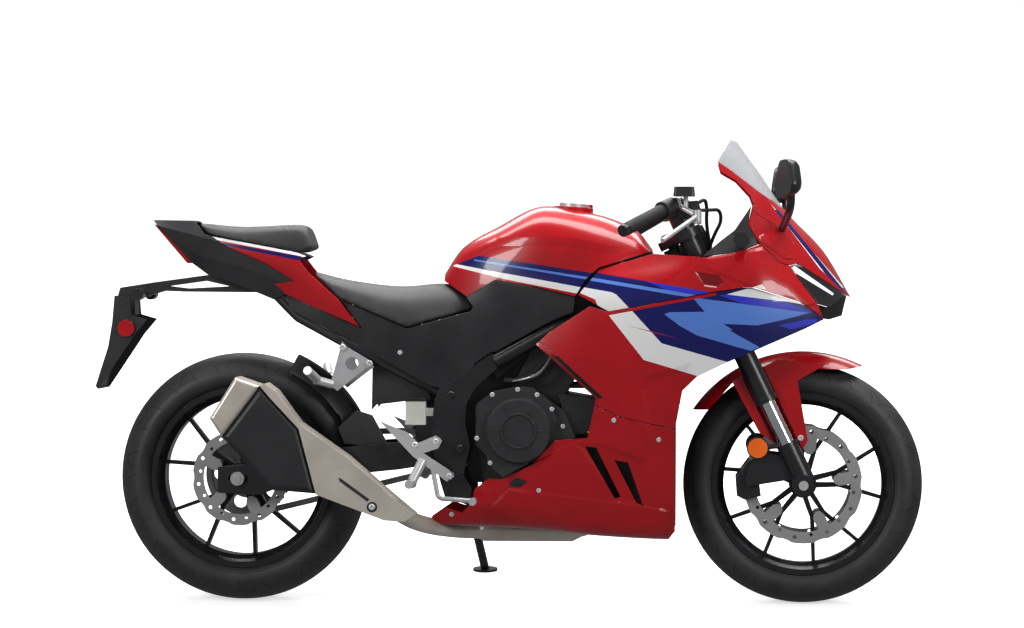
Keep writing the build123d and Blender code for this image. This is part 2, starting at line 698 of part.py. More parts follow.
PIPE_R = 20.0
CAT_R = 46.0
CAT_Z = 202.0
with BuildPart() as exhaust_pipe:
    for y in (-45, 45):
        add(bent_rod([(110, y, 566), (262, y, 520), (262, y, 330), (225, y * 0.7, CAT_Z),
                      (100, y * 0.4, CAT_Z)],
                     PIPE_R, 50))
    add(rod((110, 0, CAT_Z), (-98, 0, CAT_Z), CAT_R))
    add(bent_rod([(-90, 0, 186), (-150, -40, 180), (-236, -150, 178), (-318, -226, 250)], PIPE_R, 30))
    with BuildSketch(side(106 + SEAT_GAP)):
        Polygon(*HEAD_BLOCK, align=None)
    extrude(amount=212 + 2 * SEAT_GAP, mode=Mode.SUBTRACT)
    add(muffler_shield.part, mode=Mode.SUBTRACT)
keep(exhaust_pipe.part, "exhaust_pipe")

# Swingarm, its pivot bolt, shock, chain guard and hugger
ARM_OUT = 140.0
ARM_IN = 113.0
ARM_STATIONS = (
    (-756, ARM_IN, ARM_OUT - 4, 276, 340),
    (-650, ARM_IN, ARM_OUT, 272, 350),
    (-560, ARM_IN, ARM_OUT, 304, 372),
    (-400, ARM_IN, ARM_OUT, 326, 396),
    (-300, 100, 130, 336, 404),
    (-200, 78, 108, 352, 414),
    (-140, 72, 100, 362, 412),
)
with BuildPart() as arm:
    for x, y0, y1, z0, z1 in ARM_STATIONS:
        with BuildSketch(Plane.YZ.offset(x)):
            Polygon((-y0, z0), (-y1, z0), (-y1, z1), (-y0, z1), align=None)
    loft(ruled=True)
with BuildPart() as swingarm:
    add(both_sides(arm.part))
    add(rod((PIVOT_X, PLATE_Y - SEAT_GAP, PIVOT_Z), (PIVOT_X, SEAT_GAP - PLATE_Y, PIVOT_Z), 24))
    with BuildSketch(side(98)):
        Polygon((-290, 345), (-210, 352), (-210, 408), (-290, 403), align=None)
    extrude(amount=196)
    add(rod((PIVOT_X, PLATE_Y, PIVOT_Z), (PIVOT_X, -PLATE_Y, PIVOT_Z), PIVOT_R + SEAT_GAP),
        mode=Mode.SUBTRACT)
    with BuildSketch(side(ARM_OUT + 5)):
        with Locations((rear_axle.X, rear_axle.Z)):
            SlotCenterToCenter(30, 2 * REAR_AXLE_R)
    extrude(amount=2 * ARM_OUT + 10, mode=Mode.SUBTRACT)
keep(swingarm.part, "swingarm")

with BuildPart() as axle_rear:
    add(rod((rear_axle.X, ARM_OUT + 14, rear_axle.Z), (rear_axle.X, -ARM_OUT - 14, rear_axle.Z),
            REAR_AXLE_R - SEAT_GAP))
    for s in (1, -1):
        add(rod((rear_axle.X, s * ARM_OUT, rear_axle.Z), (rear_axle.X, s * (ARM_OUT + 12), rear_axle.Z), 17))
        add(rod((rear_axle.X, s * ARM_IN, rear_axle.Z),
                (rear_axle.X, s * (rear_boss - 6 + RUN_GAP), rear_axle.Z), 16))
keep(axle_rear.part, "rear_axle")

shock_top = Vector(-236, 0, 618.7)
with BuildPart() as shock:
    add(rod((-250, 0, 409), shock_top, 14))
    for k in range(9):
        low = Vector(-248.6 + 1.05 * k, 0, 430 + 15 * k)
        add(rod(low, low + Vector(0.6, 0, 9), 31))
    half = UPPER_TUBE_Y + 1.4 - UPPER_TUBE_R - SEAT_GAP
    add(rod(shock_top + Vector(0, half, 0), shock_top - Vector(0, half, 0), 12))
keep(shock.part, "shock_absorber")

HUGGER_R = 330.0
with BuildPart() as hugger:
    with BuildSketch(wheel_plane(rear_axle)):
        with BuildLine():
            ThreePointArc((-86, HUGGER_R - 38), (0, HUGGER_R + 4), (86, HUGGER_R - 38))
            Line((86, HUGGER_R - 38), (90, HUGGER_R - 38))
            ThreePointArc((90, HUGGER_R - 38), (0, HUGGER_R + 8), (-90, HUGGER_R - 38))
            Line((-90, HUGGER_R - 38), (-86, HUGGER_R - 38))
        make_face()
    revolve(axis=Axis(rear_axle, (0, 1, 0)), revolution_arc=360)
    with BuildSketch(side(120)):
        Polygon((-300, 400), (-432, 400), (-455, 470), (-585, 560), (-560, 640), (-420, 600), (-300, 480),
                align=None)
    extrude(amount=240, mode=Mode.INTERSECT)
    with BuildSketch(side(-86)):
        Polygon((-335, 401.5), (-400, 396.3), (-440, 400), (-455, 440), (-410, 482), (-372, 470),
                (-350, 430),
                align=None)
    extrude(amount=38)

with BuildPart() as rear_caliper:
    with BuildSketch(side(-REAR_DISC_Y + 22)):
        Polygon((-622, 345), (-606, 322), (-572, 360), (-590, 408), (-632, 398), align=None)
    extrude(amount=40)
    with BuildSketch(side(-REAR_DISC_Y + 7)):
        with Locations((rear_axle.X, rear_axle.Z)):
            Circle(REAR_DISC_R + 5)
    extrude(amount=14, mode=Mode.SUBTRACT)
    with BuildSketch(side(-REAR_DISC_Y - 10)):
        Polygon((-700, 330), (-690, 290), (-600, 312), (-590, 380), align=None)
        with Locations((rear_axle.X, rear_axle.Z)):
            Circle(16 + SEAT_GAP, mode=Mode.SUBTRACT)
    extrude(amount=10)
keep(rear_caliper.part, "rear_caliper")

# Footrests and foot controls
with BuildPart() as rests:
    with BuildSketch(side(-184)):
        Polygon((-205, 424), (-190, 410), (-200, 392), (-236, 380), (-172, 338), (-160, 322), (-178, 310),
                (-262, 372),
                (-345, 459), (-276, 431), (-250, 405), align=None)
    extrude(amount=8)
    for x, z in ((-205, 409), (-172, 323)):
        add(rod((x, -PLATE_Y - PLATE_WIDE, z), (x, -186, z), 9))
    add(rod((-238, -186, 362), (-262, -205, 312), 12))
    add(rod((-262, -205, 305), (-264, -292, 308), 11))

with BuildPart() as passenger_rests:
    with BuildSketch(side(-LOW_TUBE_Y - LOW_TUBE_R - SEAT_GAP)):
        Polygon((-445, 655), (-430, 640), (-372, 606), (-365, 590), (-385, 588), (-456, 532), (-475, 545),
                align=None)
        with Locations((-420, 600)):
            Circle(16, mode=Mode.SUBTRACT)
    extrude(amount=10)
    add(rod((-470, -126, 548), (-510, -150, 560), 11))
    add(rod((-505, -145, 560), (-520, -235, 585), 11))
    for x, z in ((-443, 640), (-376, 600)):
        add(rod((x, -123, z), (x, -135, z), 8))
keep(both_sides(passenger_rests.part), "passenger_footrests")

with BuildPart() as foot_controls:
    add(both_sides(rests.part))
    add(bent_rod([(-215, -186, 350), (-200, -186, 268), (-110, -190, 262)], 6, 16))
    add(rod((-112, -190, 262), (-112, -232, 262), 9))
    add(bent_rod([(-218, 186, 350), (-180, 186, 300), (-110, 186, 300)], 6, 16))
    add(rod((-112, 172, 300), (-112, 222, 300), 8))
keep(foot_controls.part, "rider_footrests")

# Side stand, swung out on the left until it meets its stop
STAND_R = 11.0
STAND_FOOT_R = 24.0
STAND_FOOT_THICK = 6.0
SETTLE = REAR_CROWN * (1 - cos(radians(LEAN)))
STAND_Y = PLATE_Y + PLATE_WIDE + 18
stand_pin = Vector(-150, STAND_Y, 262)
stand_out = Vector(0.15, 0.55, -0.82).normalized()
stand_folded = Vector(-0.97, 0.10, -0.10).normalized()
stand_axis = stand_out.cross(stand_folded).normalized()
ground_up = Vector(0, -sin(radians(LEAN)), cos(radians(LEAN)))
stand_reach = (stand_pin.dot(ground_up) + SETTLE) / -stand_out.dot(ground_up)
stand_foot = stand_pin + stand_out * stand_reach
with BuildPart() as side_stand:
    add(rod(stand_pin, stand_foot + ground_up * STAND_FOOT_THICK / 2, STAND_R))
    with BuildSketch(Plane(origin=stand_foot, x_dir=(1, 0, 0), z_dir=ground_up)):
        Ellipse(STAND_FOOT_R + 8, STAND_FOOT_R)
    extrude(amount=STAND_FOOT_THICK)
    add(rod(stand_pin - stand_axis * 11, stand_pin + stand_axis * 11, 15))
    with BuildSketch(Plane(origin=stand_foot, x_dir=(1, 0, 0), z_dir=ground_up)):
        Rectangle(200, 200)
    extrude(amount=-40, mode=Mode.SUBTRACT)
    add(rod(stand_pin - stand_axis * 20, stand_pin + stand_axis * 20, 6 + SEAT_GAP), mode=Mode.SUBTRACT)
keep(side_stand.part, "side_stand")

with BuildPart() as stand_bracket:
    add(rod(stand_pin - stand_axis * 16, stand_pin + stand_axis * 14, 6))
    add(rod(stand_pin + stand_axis * 11.6, stand_pin + stand_axis * 16, 11))
    add(rod(stand_pin - stand_axis * 34, stand_pin - stand_axis * 11.6, 13))
    with BuildSketch(side(PLATE_Y + PLATE_WIDE - 2)):
        with Locations((stand_pin.X, stand_pin.Z)):
            Rectangle(200, 200)
    extrude(amount=100, mode=Mode.SUBTRACT)
with BuildPart() as whole_frame:
    add(frame.part)
    add(stand_bracket.part)
    add(rod((PIVOT_X, PLATE_Y + PLATE_WIDE + 8, PIVOT_Z), (PIVOT_X, -PLATE_Y - PLATE_WIDE - 8, PIVOT_Z),
            PIVOT_R))
keep(whole_frame.part, "frame")

# Seams between painted panels
SEAM = 0.4


def shrunk(outline, gap):
    """Outline moved inwards by a gap, with its corners kept sharp."""
    turn = sum(a[0] * b[1] - b[0] * a[1] for a, b in zip(outline, outline[1:] + outline[:1]))
    sign = 1 if turn > 0 else -1
    points = []
    for before, here, after in zip(outline[-1:] + outline[:-1], outline, outline[1:] + outline[:1]):
        first = Vector(here[0] - before[0], here[1] - before[1]).normalized()
        second = Vector(after[0] - here[0], after[1] - here[1]).normalized()
        inward = Vector(-first.Y - second.Y, first.X + second.X).normalized() * sign
        reach = gap / max(0.3, inward.dot(Vector(-first.Y, first.X) * sign))
        points.append((here[0] + inward.X * reach, here[1] + inward.Y * reach))
    return points


def cut_out(solid, outline, side_only=True):
    """Keeps what of a solid lies inside a side-view outline: on the right half only, or on both."""
    with BuildPart() as kept:
        add(solid)
        with BuildSketch(side(0 if side_only else 400)):
            Polygon(*shrunk(outline, SEAM), align=None)
        extrude(amount=400 if side_only else 800, mode=Mode.INTERSECT)
    return kept.part


def window(outline):
    """Prism of a side-view opening that goes right through the bike."""
    with BuildPart() as prism:
        with BuildSketch(side(400)):
            Polygon(*outline, align=None)
        extrude(amount=800)
    return prism.part


# Fuel tank and its cap
TANK = (
    (-205, (0, 812), (26, 806), (46, 785), (52, 740)),
    (-150, (0, 893), (42, 884), (78, 850), (92, 740)),
    (-70, (0, 942), (62, 930), (112, 890), (126, 740)),
    (60, (0, 999), (74, 986), (140, 935), (152, 740)),
    (190, (0, 977), (80, 966), (152, 905), (166, 740)),
    (290, (0, 935), (72, 926), (130, 888), (150, 740)),
    (330, (0, 884), (60, 880), (112, 872), (132, 740)),
)
TANK_EDGE = ((-196, 860), (-196, 806), (-135, 766), (-62, 809), (38, 792), (138, 768), (143, 776),
             (164, 810),
             (195, 839), (263, 860), (328, 881), (340, 1010), (-196, 1010))
CAP_X = 128.0
CAP_R = 36.0
CAP_THICK = 9.0
FILLER_R = 24.0
FILLER_DEEP = 60.0
CAP_TILT = 4.0
cap_seat = Vector(CAP_X, 0, 993)
cap_plane = Plane(origin=cap_seat, x_dir=(cos(radians(CAP_TILT)), 0, -sin(radians(CAP_TILT))),
                  z_dir=(sin(radians(CAP_TILT)), 0, cos(radians(CAP_TILT))))
HINGE_R = 4.5
HINGE_PIN_R = 2.0
HINGE_HALF = 11.0
LUG_WIDE = 5.0
hinge = cap_seat + cap_plane.x_dir * (CAP_R + 8) + cap_plane.z_dir * (HINGE_R + SEAT_GAP)
with BuildPart() as hinge_lug:
    add(rod(hinge - Vector(0, HINGE_HALF + SEAT_GAP, 0), hinge - Vector(0, HINGE_HALF + LUG_WIDE, 0),
            HINGE_R))
    add(rod(hinge - Vector(0, HINGE_HALF + LUG_WIDE, 0), hinge, HINGE_PIN_R))
    with BuildSketch(cap_plane):
        with Locations((CAP_R + 8, -HINGE_HALF - (SEAT_GAP + LUG_WIDE) / 2)):
            Rectangle(2 * HINGE_R, LUG_WIDE - SEAT_GAP)
    extrude(amount=HINGE_R)
with BuildPart() as tank_foot:
    add(rod((250, -122, 870), (250, -122, 742), 9))
    add(bent_rod(spar_line, SPAR_R + SEAT_GAP, 40), mode=Mode.SUBTRACT)
with BuildPart() as tank:
    add(cut_out(envelope(TANK), TANK_EDGE, side_only=False))
    add(both_sides(tank_foot.part.solids().sort_by(Axis.Z)[-1]))
    with BuildSketch(cap_plane):
        Circle(CAP_R + 14)
    extrude(amount=-12)
    with BuildSketch(cap_plane):
        Circle(CAP_R + 16)
    extrude(amount=30, mode=Mode.SUBTRACT)
    add(both_sides(hinge_lug.part))
    with BuildSketch(cap_plane):
        Circle(FILLER_R)
    extrude(amount=-FILLER_DEEP, mode=Mode.SUBTRACT)
keep(tank.part, "fuel_tank")

with BuildPart() as cap:
    with BuildSketch(cap_plane.offset(SEAT_GAP)):
        Circle(CAP_R)
    extrude(amount=CAP_THICK)
    with BuildSketch(cap_plane.offset(SEAT_GAP + 1)):
        with Locations((CAP_R + 3, 0)):
            Rectangle(10, 2 * HINGE_HALF)
    extrude(amount=CAP_THICK - 1)
    add(rod(hinge - Vector(0, HINGE_HALF, 0), hinge + Vector(0, HINGE_HALF, 0), HINGE_R))
    add(rod(hinge - Vector(0, HINGE_HALF, 0), hinge + Vector(0, HINGE_HALF, 0), HINGE_PIN_R + SEAT_GAP),
        mode=Mode.SUBTRACT)
keep(cap.part, "fuel_cap")

# Seats
RIDER_SEAT = (
    (-540, (0, 834), (64, 832), (84, 826), (86, 800)),
    (-440, (0, 809), (92, 806), (126, 780), (130, 680)),
    (-300, (0, 795), (92, 788), (138, 744), (142, 660)),
    (-200, (0, 802), (62, 796), (108, 752), (116, 660)),
    (-110, (0, 796), (44, 790), (84, 748), (96, 660)),
)
RIDER_EDGE = ((-536, 840), (-526, 827), (-454, 760), (-283, 689), (-124, 732), (-118, 742), (-135, 766),
              (-196, 806),
              (-300, 820))
keep(cut_out(envelope(RIDER_SEAT), RIDER_EDGE, side_only=False), "rider_seat")
PASSENGER_SEAT = (
    (-830, (0, 954), (44, 952), (56, 944), (58, 900)),
    (-700, (0, 944), (74, 940), (94, 920), (99, 880)),
    (-560, (0, 949), (84, 946), (100, 924), (102, 860)),
    (-520, (0, 930), (80, 926), (96, 905), (98, 860)),
)
PASSENGER_EDGE = ((-825, 958), (-795, 923), (-780, 917.5), (-561, 877.5), (-545, 879), (-522, 888),
                  (-543, 952),
                  (-574, 956), (-656, 950))
keep(cut_out(envelope(PASSENGER_SEAT), PASSENGER_EDGE, side_only=False), "passenger_seat")

# Tail
TAIL = (
    (-290, (0, 800), (100, 798), (128, 760), (132, 700), (128, 560)),
    (-450, (0, 830), (100, 826), (126, 770), (122, 700), (112, 560)),
    (-570, (0, 900), (92, 896), (116, 850), (110, 790), (80, 660)),
    (-700, (0, 930), (86, 926), (106, 890), (98, 840), (66, 720)),
    (-800, (0, 958), (66, 956), (86, 915), (78, 865), (52, 800)),
    (-940, (0, 960), (26, 959), (34, 950), (30, 935), (24, 900)),
)
tail_wall = skin_of(TAIL, SKIN)
TAIL_RED = ((-555, 859), (-530, 826), (-454, 760), (-399, 690), (-592, 772), (-617, 800), (-570, 806),
            (-642, 850),
                (-736, 890), (-780, 918), (-561, 878), (-536, 868))
keep(both_sides(cut_out(tail_wall, TAIL_RED)), "tail_side_panels")
TAIL_BLACK = ((-925, 970), (-934, 957), (-832, 850), (-791, 821), (-697, 790), (-621, 759), (-592, 772),
              (-617, 800),
              (-570, 806), (-642, 850), (-736, 890), (-780, 918), (-797, 924), (-826, 958), (-830, 970))
TAIL_FLOOR = ((-832, 850), (-791, 821), (-697, 790), (-660, 775), (-660, 781), (-697, 796), (-791, 827),
              (-836, 858))
with BuildPart() as tail_cowl:
    add(cut_out(tail_wall, TAIL_BLACK, side_only=False))
    add(cut_out(envelope(TAIL, ruled=True), TAIL_FLOOR, side_only=False))
keep(tail_cowl.part, "tail_cowl")
with BuildPart() as tail_lamp:
    with BuildSketch(side(80)):
        Polygon((-924, 944), (-836.8, 857), (-833.7, 850.6), (-846, 850), (-932, 948), align=None)
    extrude(amount=160)
    add(envelope(TAIL, SKIN + SEAT_GAP, True), mode=Mode.INTERSECT)

# Side covers under the tank and seat
COVER = (
    (-600, (0, 800), (70, 796), (100, 770), (98, 700)),
    (-290, (0, 800), (100, 796), (130, 700), (124, 560)),
    (-180, (0, 800), (100, 796), (136, 740), (132, 540)),
    (-60, (0, 840), (110, 836), (146, 800), (146, 560)),
    (140, (0, 840), (120, 836), (164, 770), (160, 640)),
)
COVER_EDGE = ((-118, 742), (-135, 766), (-62, 809), (38, 792), (138, 768), (128, 745), (40, 704), (-60, 656),
              (-110, 626), (-160, 578), (-214, 564), (-454, 682), (-577, 738), (-592, 772), (-399,
                      689), (-283, 689),
              (-124, 732))
keep(both_sides(cut_out(skin_of(COVER, SKIN), COVER_EDGE)), "side_covers")

# Upper fairing: side panels, nose and windscreen share one surface
UPPER = (
    (20, (0, 1000), (60, 960), (100, 880), (146, 800), (168, 730), (158, 600)),
    (145, (0, 1040), (60, 990), (104, 900), (142, 850), (180, 768), (172, 620)),
    (331, (0, 1180), (60, 1110), (104, 980), (132, 878), (206, 786), (194, 640)),
    (480, (0, 1215), (56, 1194), (110, 1114), (150, 930), (216, 796), (202, 660)),
    (578, (0, 1107), (54, 1092), (110, 1043), (152, 915), (214, 790), (196, 640)),
    (662, (0, 985), (52, 976), (106, 938), (146, 846), (186, 780), (166, 660)),
    (757, (0, 884), (40, 876), (88, 838), (120, 762), (138, 732), (128, 690)),
    (826, (0, 766), (12, 764), (30, 758), (42, 748), (44, 742), (40, 730)),
)
upper_wall = skin_of(UPPER, SKIN)
LAMP = ((671, 846), (690, 851), (812, 772), (767, 742), (739, 750), (692, 812))
NOSE_EDGE = ((489, 1107), (497, 1079), (535, 1057), (570, 1019), (578, 998), (566, 947), (595, 900),
             (646, 853),
             (671, 846), (690, 851), (812, 772), (830, 764), (840, 900), (662, 985), (596, 1028), (523,
                     1084))
keep(cut_out(upper_wall, NOSE_EDGE, side_only=False), "nose_cowl")
SCREEN_EDGE = ((489, 1107), (523, 1084), (596, 1028), (662, 985), (700, 1000), (526, 1200), (510, 1140))
keep(cut_out(skin_of(UPPER, 3.0), SCREEN_EDGE, side_only=False), "windscreen")
with BuildPart() as lamps:
    add(cut_out(skin_of(UPPER, 14), LAMP))
keep(both_sides(lamps.part), "headlamps")
PANEL_EDGE = ((145, 773), (197, 836), (331, 876), (461, 867), (527, 878), (565, 888), (595, 900), (646, 853),
              (671, 846), (692, 812), (739, 750), (755, 713), (701, 753), (582, 791), (553, 791), (477, 780),
              (222, 731))
keep(both_sides(cut_out(upper_wall, PANEL_EDGE)), "upper_side_panels")
with BuildPart() as chin:
    with BuildSketch(side(70)):
        Polygon((739, 750), (767, 742), (812, 772), (800, 722), (769, 712), (738, 716), align=None)
    extrude(amount=140)

# Side fairings
LOWER = (
    (-255, (0, 420), (60, 400), (128, 300), (130, 225), (116, 190), (40, 186)),
    (-60, (0, 700), (100, 690), (162, 560), (160, 300), (130, 192), (50, 188)),
    (60, (0, 820), (120, 810), (186, 690), (194, 400), (150, 186), (60, 182)),
    (210, (0, 860), (150, 850), (206, 740), (196, 460), (140, 172), (60, 168)),
    (390, (0, 900), (150, 880), (214, 780), (184, 470), (128, 164), (50, 160)),
    (520, (0, 900), (150, 880), (216, 790), (186, 500), (120, 164), (50, 160)),
    (705, (0, 860), (130, 840), (168, 760), (150, 500), (110, 164), (50, 160)),
)
lower_wall = skin_of(LOWER, SKIN)
SIDE_EDGE = ((222, 731), (477, 780), (553, 791), (582, 791), (701, 753), (755, 713), (704, 688), (518, 608),
             (441, 571), (405, 536), (387, 440), (251, 471), (187, 501), (187, 520), (40, 650), (74,
                     681), (176, 746))
keep(both_sides(cut_out(lower_wall, SIDE_EDGE)), "side_fairings")
COWL_EDGE = ((187, 501), (251, 471), (387, 440), (387, 184), (366, 156), (141, 160), (90, 184), (-104, 192),
             (-244, 201), (-184, 243), (-144, 230), (-118, 259), (-113, 289), (-78, 316), (-42, 316), (34,
                     354),
             (90, 414), (169, 420))
SLOTS = (((164, 398), (192, 395), (252, 272), (237, 268)), ((237, 364), (270, 358), (308, 249), (290, 258)))
with BuildPart() as cowl:
    add(cut_out(lower_wall, COWL_EDGE))
    for slot in SLOTS:
        add(window(slot), mode=Mode.SUBTRACT)
    with BuildSketch(Plane.XY.offset(100)):
        with Locations((-60, 0)):
            Rectangle(410, 180)
    extrude(amount=250, mode=Mode.SUBTRACT)
keep(both_sides(cowl.part), "lower_cowls")

# Cockpit trim, instruments, mirrors and turn signals
with BuildPart() as trim:
    add(cut_out(skin_of(UPPER, SKIN),
                ((451, 868), (498, 908), (532, 934), (574, 996), (566, 947), (594, 900),
                                       (565, 888), (527, 878))))
with BuildPart() as nose_trim:
    add(both_sides(trim.part))
    add(chin.part)
keep(nose_trim.part, "nose_trim")

with BuildPart() as instruments:
    with BuildSketch(Plane(origin=(516, 0, 1000), x_dir=(0, 1, 0), z_dir=(-0.64, 0, 0.77))):
        RectangleRounded(150, 84, 14)
    extrude(amount=-26)
    add(rod((524, 0, 985), (712, 0, 930), 10))
    add(envelope(UPPER, SKIN, True), mode=Mode.INTERSECT)
keep(instruments.part, "instrument_panel")

with BuildPart() as mirror_half:
    with BuildSketch(Plane(origin=(652, -330, 1064), x_dir=(0.25, -0.97, 0), z_dir=(-0.97, -0.25, 0.05))):
        RectangleRounded(118, 78, 26)
    extrude(amount=10)
    with BuildSketch(Plane(origin=(652, -330, 1064), x_dir=(0.25, -0.97, 0), z_dir=(-0.97, -0.25, 0.05))):
        RectangleRounded(118, 78, 26)
    extrude(amount=-26, taper=24)
    add(bent_rod([(650, -80, 944), (664, -230, 976), (668, -300, 1040)], 10, 40))
    add(envelope(UPPER, -SEAT_GAP, True), mode=Mode.SUBTRACT)
keep(both_sides(mirror_half.part), "mirrors")

with BuildPart() as front_signals:
    add(rod((556, -130, 912), (550, -172, 910), 12))
    add(envelope(UPPER, -SEAT_GAP, True), mode=Mode.SUBTRACT)
    add(rod((550, -172, 910), (549, -216, 910), 20))
keep(both_sides(front_signals.part), "front_turn_signals")

# Number plate bracket with its reflectors and turn signals
ARM = ((-664, 776.6), (-697, 790), (-791, 821), (-929, 802), (-1018, 788), (-1018, 767), (-980, 758),
       (-910, 780),
       (-854, 778))
FLAP = ((-986, 762), (-983, 720), (-942, 708), (-974, 670), (-999, 632), (-1065, 533), (-1072, 540),
        (-1040, 640),
        (-1030, 700), (-1024, 768))
FLAP_HALF = 88.0
FLAP_WALL = 5.0
PLATE_BOLTS = 146.0
PLATE_BOLT_R = 3.5
plate_seat = Vector(-1046, 0, 621.25)
plate_way = Vector(-100, 0, 32).normalized()
with BuildPart() as bracket:
    with BuildSketch(side(34)):
        Polygon(*ARM, align=None)
        Polygon((-740, 792), (-800, 806), (-900, 792), (-850, 786), align=None, mode=Mode.SUBTRACT)
    extrude(amount=68)
    with BuildSketch(side(FLAP_HALF)):
        Polygon(*FLAP, align=None)
    extrude(amount=2 * FLAP_HALF)
    with BuildSketch(side(FLAP_HALF - FLAP_WALL)):
        Polygon(*[(x + FLAP_WALL, z) for x, z in FLAP], align=None)
    extrude(amount=2 * (FLAP_HALF - FLAP_WALL), mode=Mode.SUBTRACT)
    with BuildSketch(side(34)):
        Polygon((-1018, 788), (-1024, 768), (-1028, 700), (-980, 720), (-980, 760), align=None)
    extrude(amount=68)
    for s in (1, -1):
        add(rod((-960, s * 30, 772), (-960, s * 84, 772), 9))
        hole = plate_seat + Vector(0, s * PLATE_BOLTS / 2, 0)
        add(rod(hole - plate_way * 30, hole + plate_way * 30, PLATE_BOLT_R), mode=Mode.SUBTRACT)
keep(bracket.part, "plate_bracket")
with BuildPart() as rear_signals:
    add(rod((-960, -84 - 2 * SEAT_GAP, 772), (-960, -128, 772), 15))
keep(both_sides(rear_signals.part), "rear_turn_signals")
with BuildPart() as reflector:
    add(rod((-994, -88 - SEAT_GAP, 686), (-994, -96, 686), 21))
with BuildPart() as rear_lamps:
    add(tail_lamp.part)
    add(both_sides(reflector.part))
keep(rear_lamps.part, "rear_lamps")

# Small pieces behind the engine
with BuildPart() as inner:
    with BuildSketch(side(-85)):
        Polygon((-372, 612), (-243, 562), (-226, 509), (-289, 505), (-362, 496), (-374, 482), align=None)
    extrude(amount=7.2)
with BuildPart() as rear_guards:
    add(hugger.part)
    add(both_sides(inner.part))
keep(rear_guards.part, "rear_mudguard")
with BuildPart() as rear_fluid:
    with BuildSketch(side(-124)):
        Polygon((-284, 508), (-234, 508), (-234, 449), (-284, 449), align=None)
    extrude(amount=34)
    with BuildSketch(side(-126)):
        Polygon((-240, 490), (-214.5, 490), (-216.5, 470), (-240, 470), align=None)
    extrude(amount=10)
keep(rear_fluid.part, "rear_fluid_box")

# Export: each piece leans over with the bike and moves to the middle of its footprint
lean = Rotation(-LEAN, 0, 0)
whole = [lean * part for part in pieces.values()]
boxes = [part.bounding_box(optimal=True) for part in whole]
low = Vector(min(b.min.X for b in boxes), min(b.min.Y for b in boxes), min(b.min.Z for b in boxes))
high = Vector(max(b.max.X for b in boxes), max(b.max.Y for b in boxes), max(b.max.Z for b in boxes))
shift = Pos(-(low.X + high.X) / 2, -(low.Y + high.Y) / 2, -low.Z)
for part, label in zip(whole, pieces):
    placed = shift * part
    placed.label = label
    export_step(placed, f"parts/{label}.step")
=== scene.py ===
"""Sport bike on its side stand, in a white studio.

Shapes are drawn in the upright bike's axes in millimetres, as in the CAD source (X forward, Y left, Z up),
and then lean over with the bike.
"""
import math

import bmesh
import bpy
from mathutils import Matrix, Vector
from mathutils.bvhtree import BVHTree


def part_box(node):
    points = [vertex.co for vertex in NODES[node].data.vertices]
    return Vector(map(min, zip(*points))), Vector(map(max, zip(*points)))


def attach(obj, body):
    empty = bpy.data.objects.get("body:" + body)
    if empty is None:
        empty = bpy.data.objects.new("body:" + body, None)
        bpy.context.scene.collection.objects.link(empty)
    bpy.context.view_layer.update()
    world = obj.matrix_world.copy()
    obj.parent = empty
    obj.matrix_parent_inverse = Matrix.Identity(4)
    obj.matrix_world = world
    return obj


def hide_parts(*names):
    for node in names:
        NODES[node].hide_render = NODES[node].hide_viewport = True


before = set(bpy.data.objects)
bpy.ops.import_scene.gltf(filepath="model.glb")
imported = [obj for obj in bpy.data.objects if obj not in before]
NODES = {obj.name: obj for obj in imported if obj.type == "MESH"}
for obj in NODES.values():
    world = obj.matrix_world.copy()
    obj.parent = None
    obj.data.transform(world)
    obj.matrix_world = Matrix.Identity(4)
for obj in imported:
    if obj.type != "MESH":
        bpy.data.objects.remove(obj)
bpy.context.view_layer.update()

LEAN = math.radians(10)
REAR_AXLE = Vector((-0.705, 0, 0.312))
tyre_low, tyre_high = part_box("rear_tyre")
SHIFT = (Vector(tyre_low) + Vector(tyre_high)) / 2 - Matrix.Rotation(-LEAN, 3, "X") @ REAR_AXLE
TO_ROW = Matrix.Translation(SHIFT) @ Matrix.Rotation(-LEAN, 4, "X") @ Matrix.Scale(0.001, 4)
scene = bpy.context.scene


def row(x, y, z):
    """Point of the upright bike, in mm, as a place in the scene."""
    return TO_ROW @ Vector((x, y, z))


def way_round(corners):
    """1 for an outline drawn anticlockwise, -1 for one drawn clockwise."""
    turn = sum(a[0] * b[1] - b[0] * a[1] for a, b in zip(corners, corners[1:] + corners[:1]))
    return 1 if turn > 0 else -1


# ---- Camera: fitted to both tyres in the photo
CAM_AT, CAM_TO = Vector((466, -9225, 826)), Vector((-27.15, 0, 723.2))
CAM_ROLL = math.radians(0.108)
CAM_LENS = 128.64
look = (CAM_TO - CAM_AT).to_track_quat("-Z", "Y").to_matrix().to_4x4()
camera = bpy.data.objects.new("camera", bpy.data.cameras.new("camera"))
scene.collection.objects.link(camera)
camera.matrix_world = (Matrix.Translation(row(*CAM_AT)) @ Matrix.Rotation(-LEAN, 4, "X") @ look
                       @ Matrix.Rotation(CAM_ROLL, 4, "Z"))
camera.data.sensor_width = 36
camera.data.lens = CAM_LENS
camera.data.clip_start, camera.data.clip_end = 0.5, 200
scene.camera = camera


# ---- Shader helpers
MIX_A, MIX_B, MIX_RESULT = 6, 7, 2  # colour sockets of the mix node


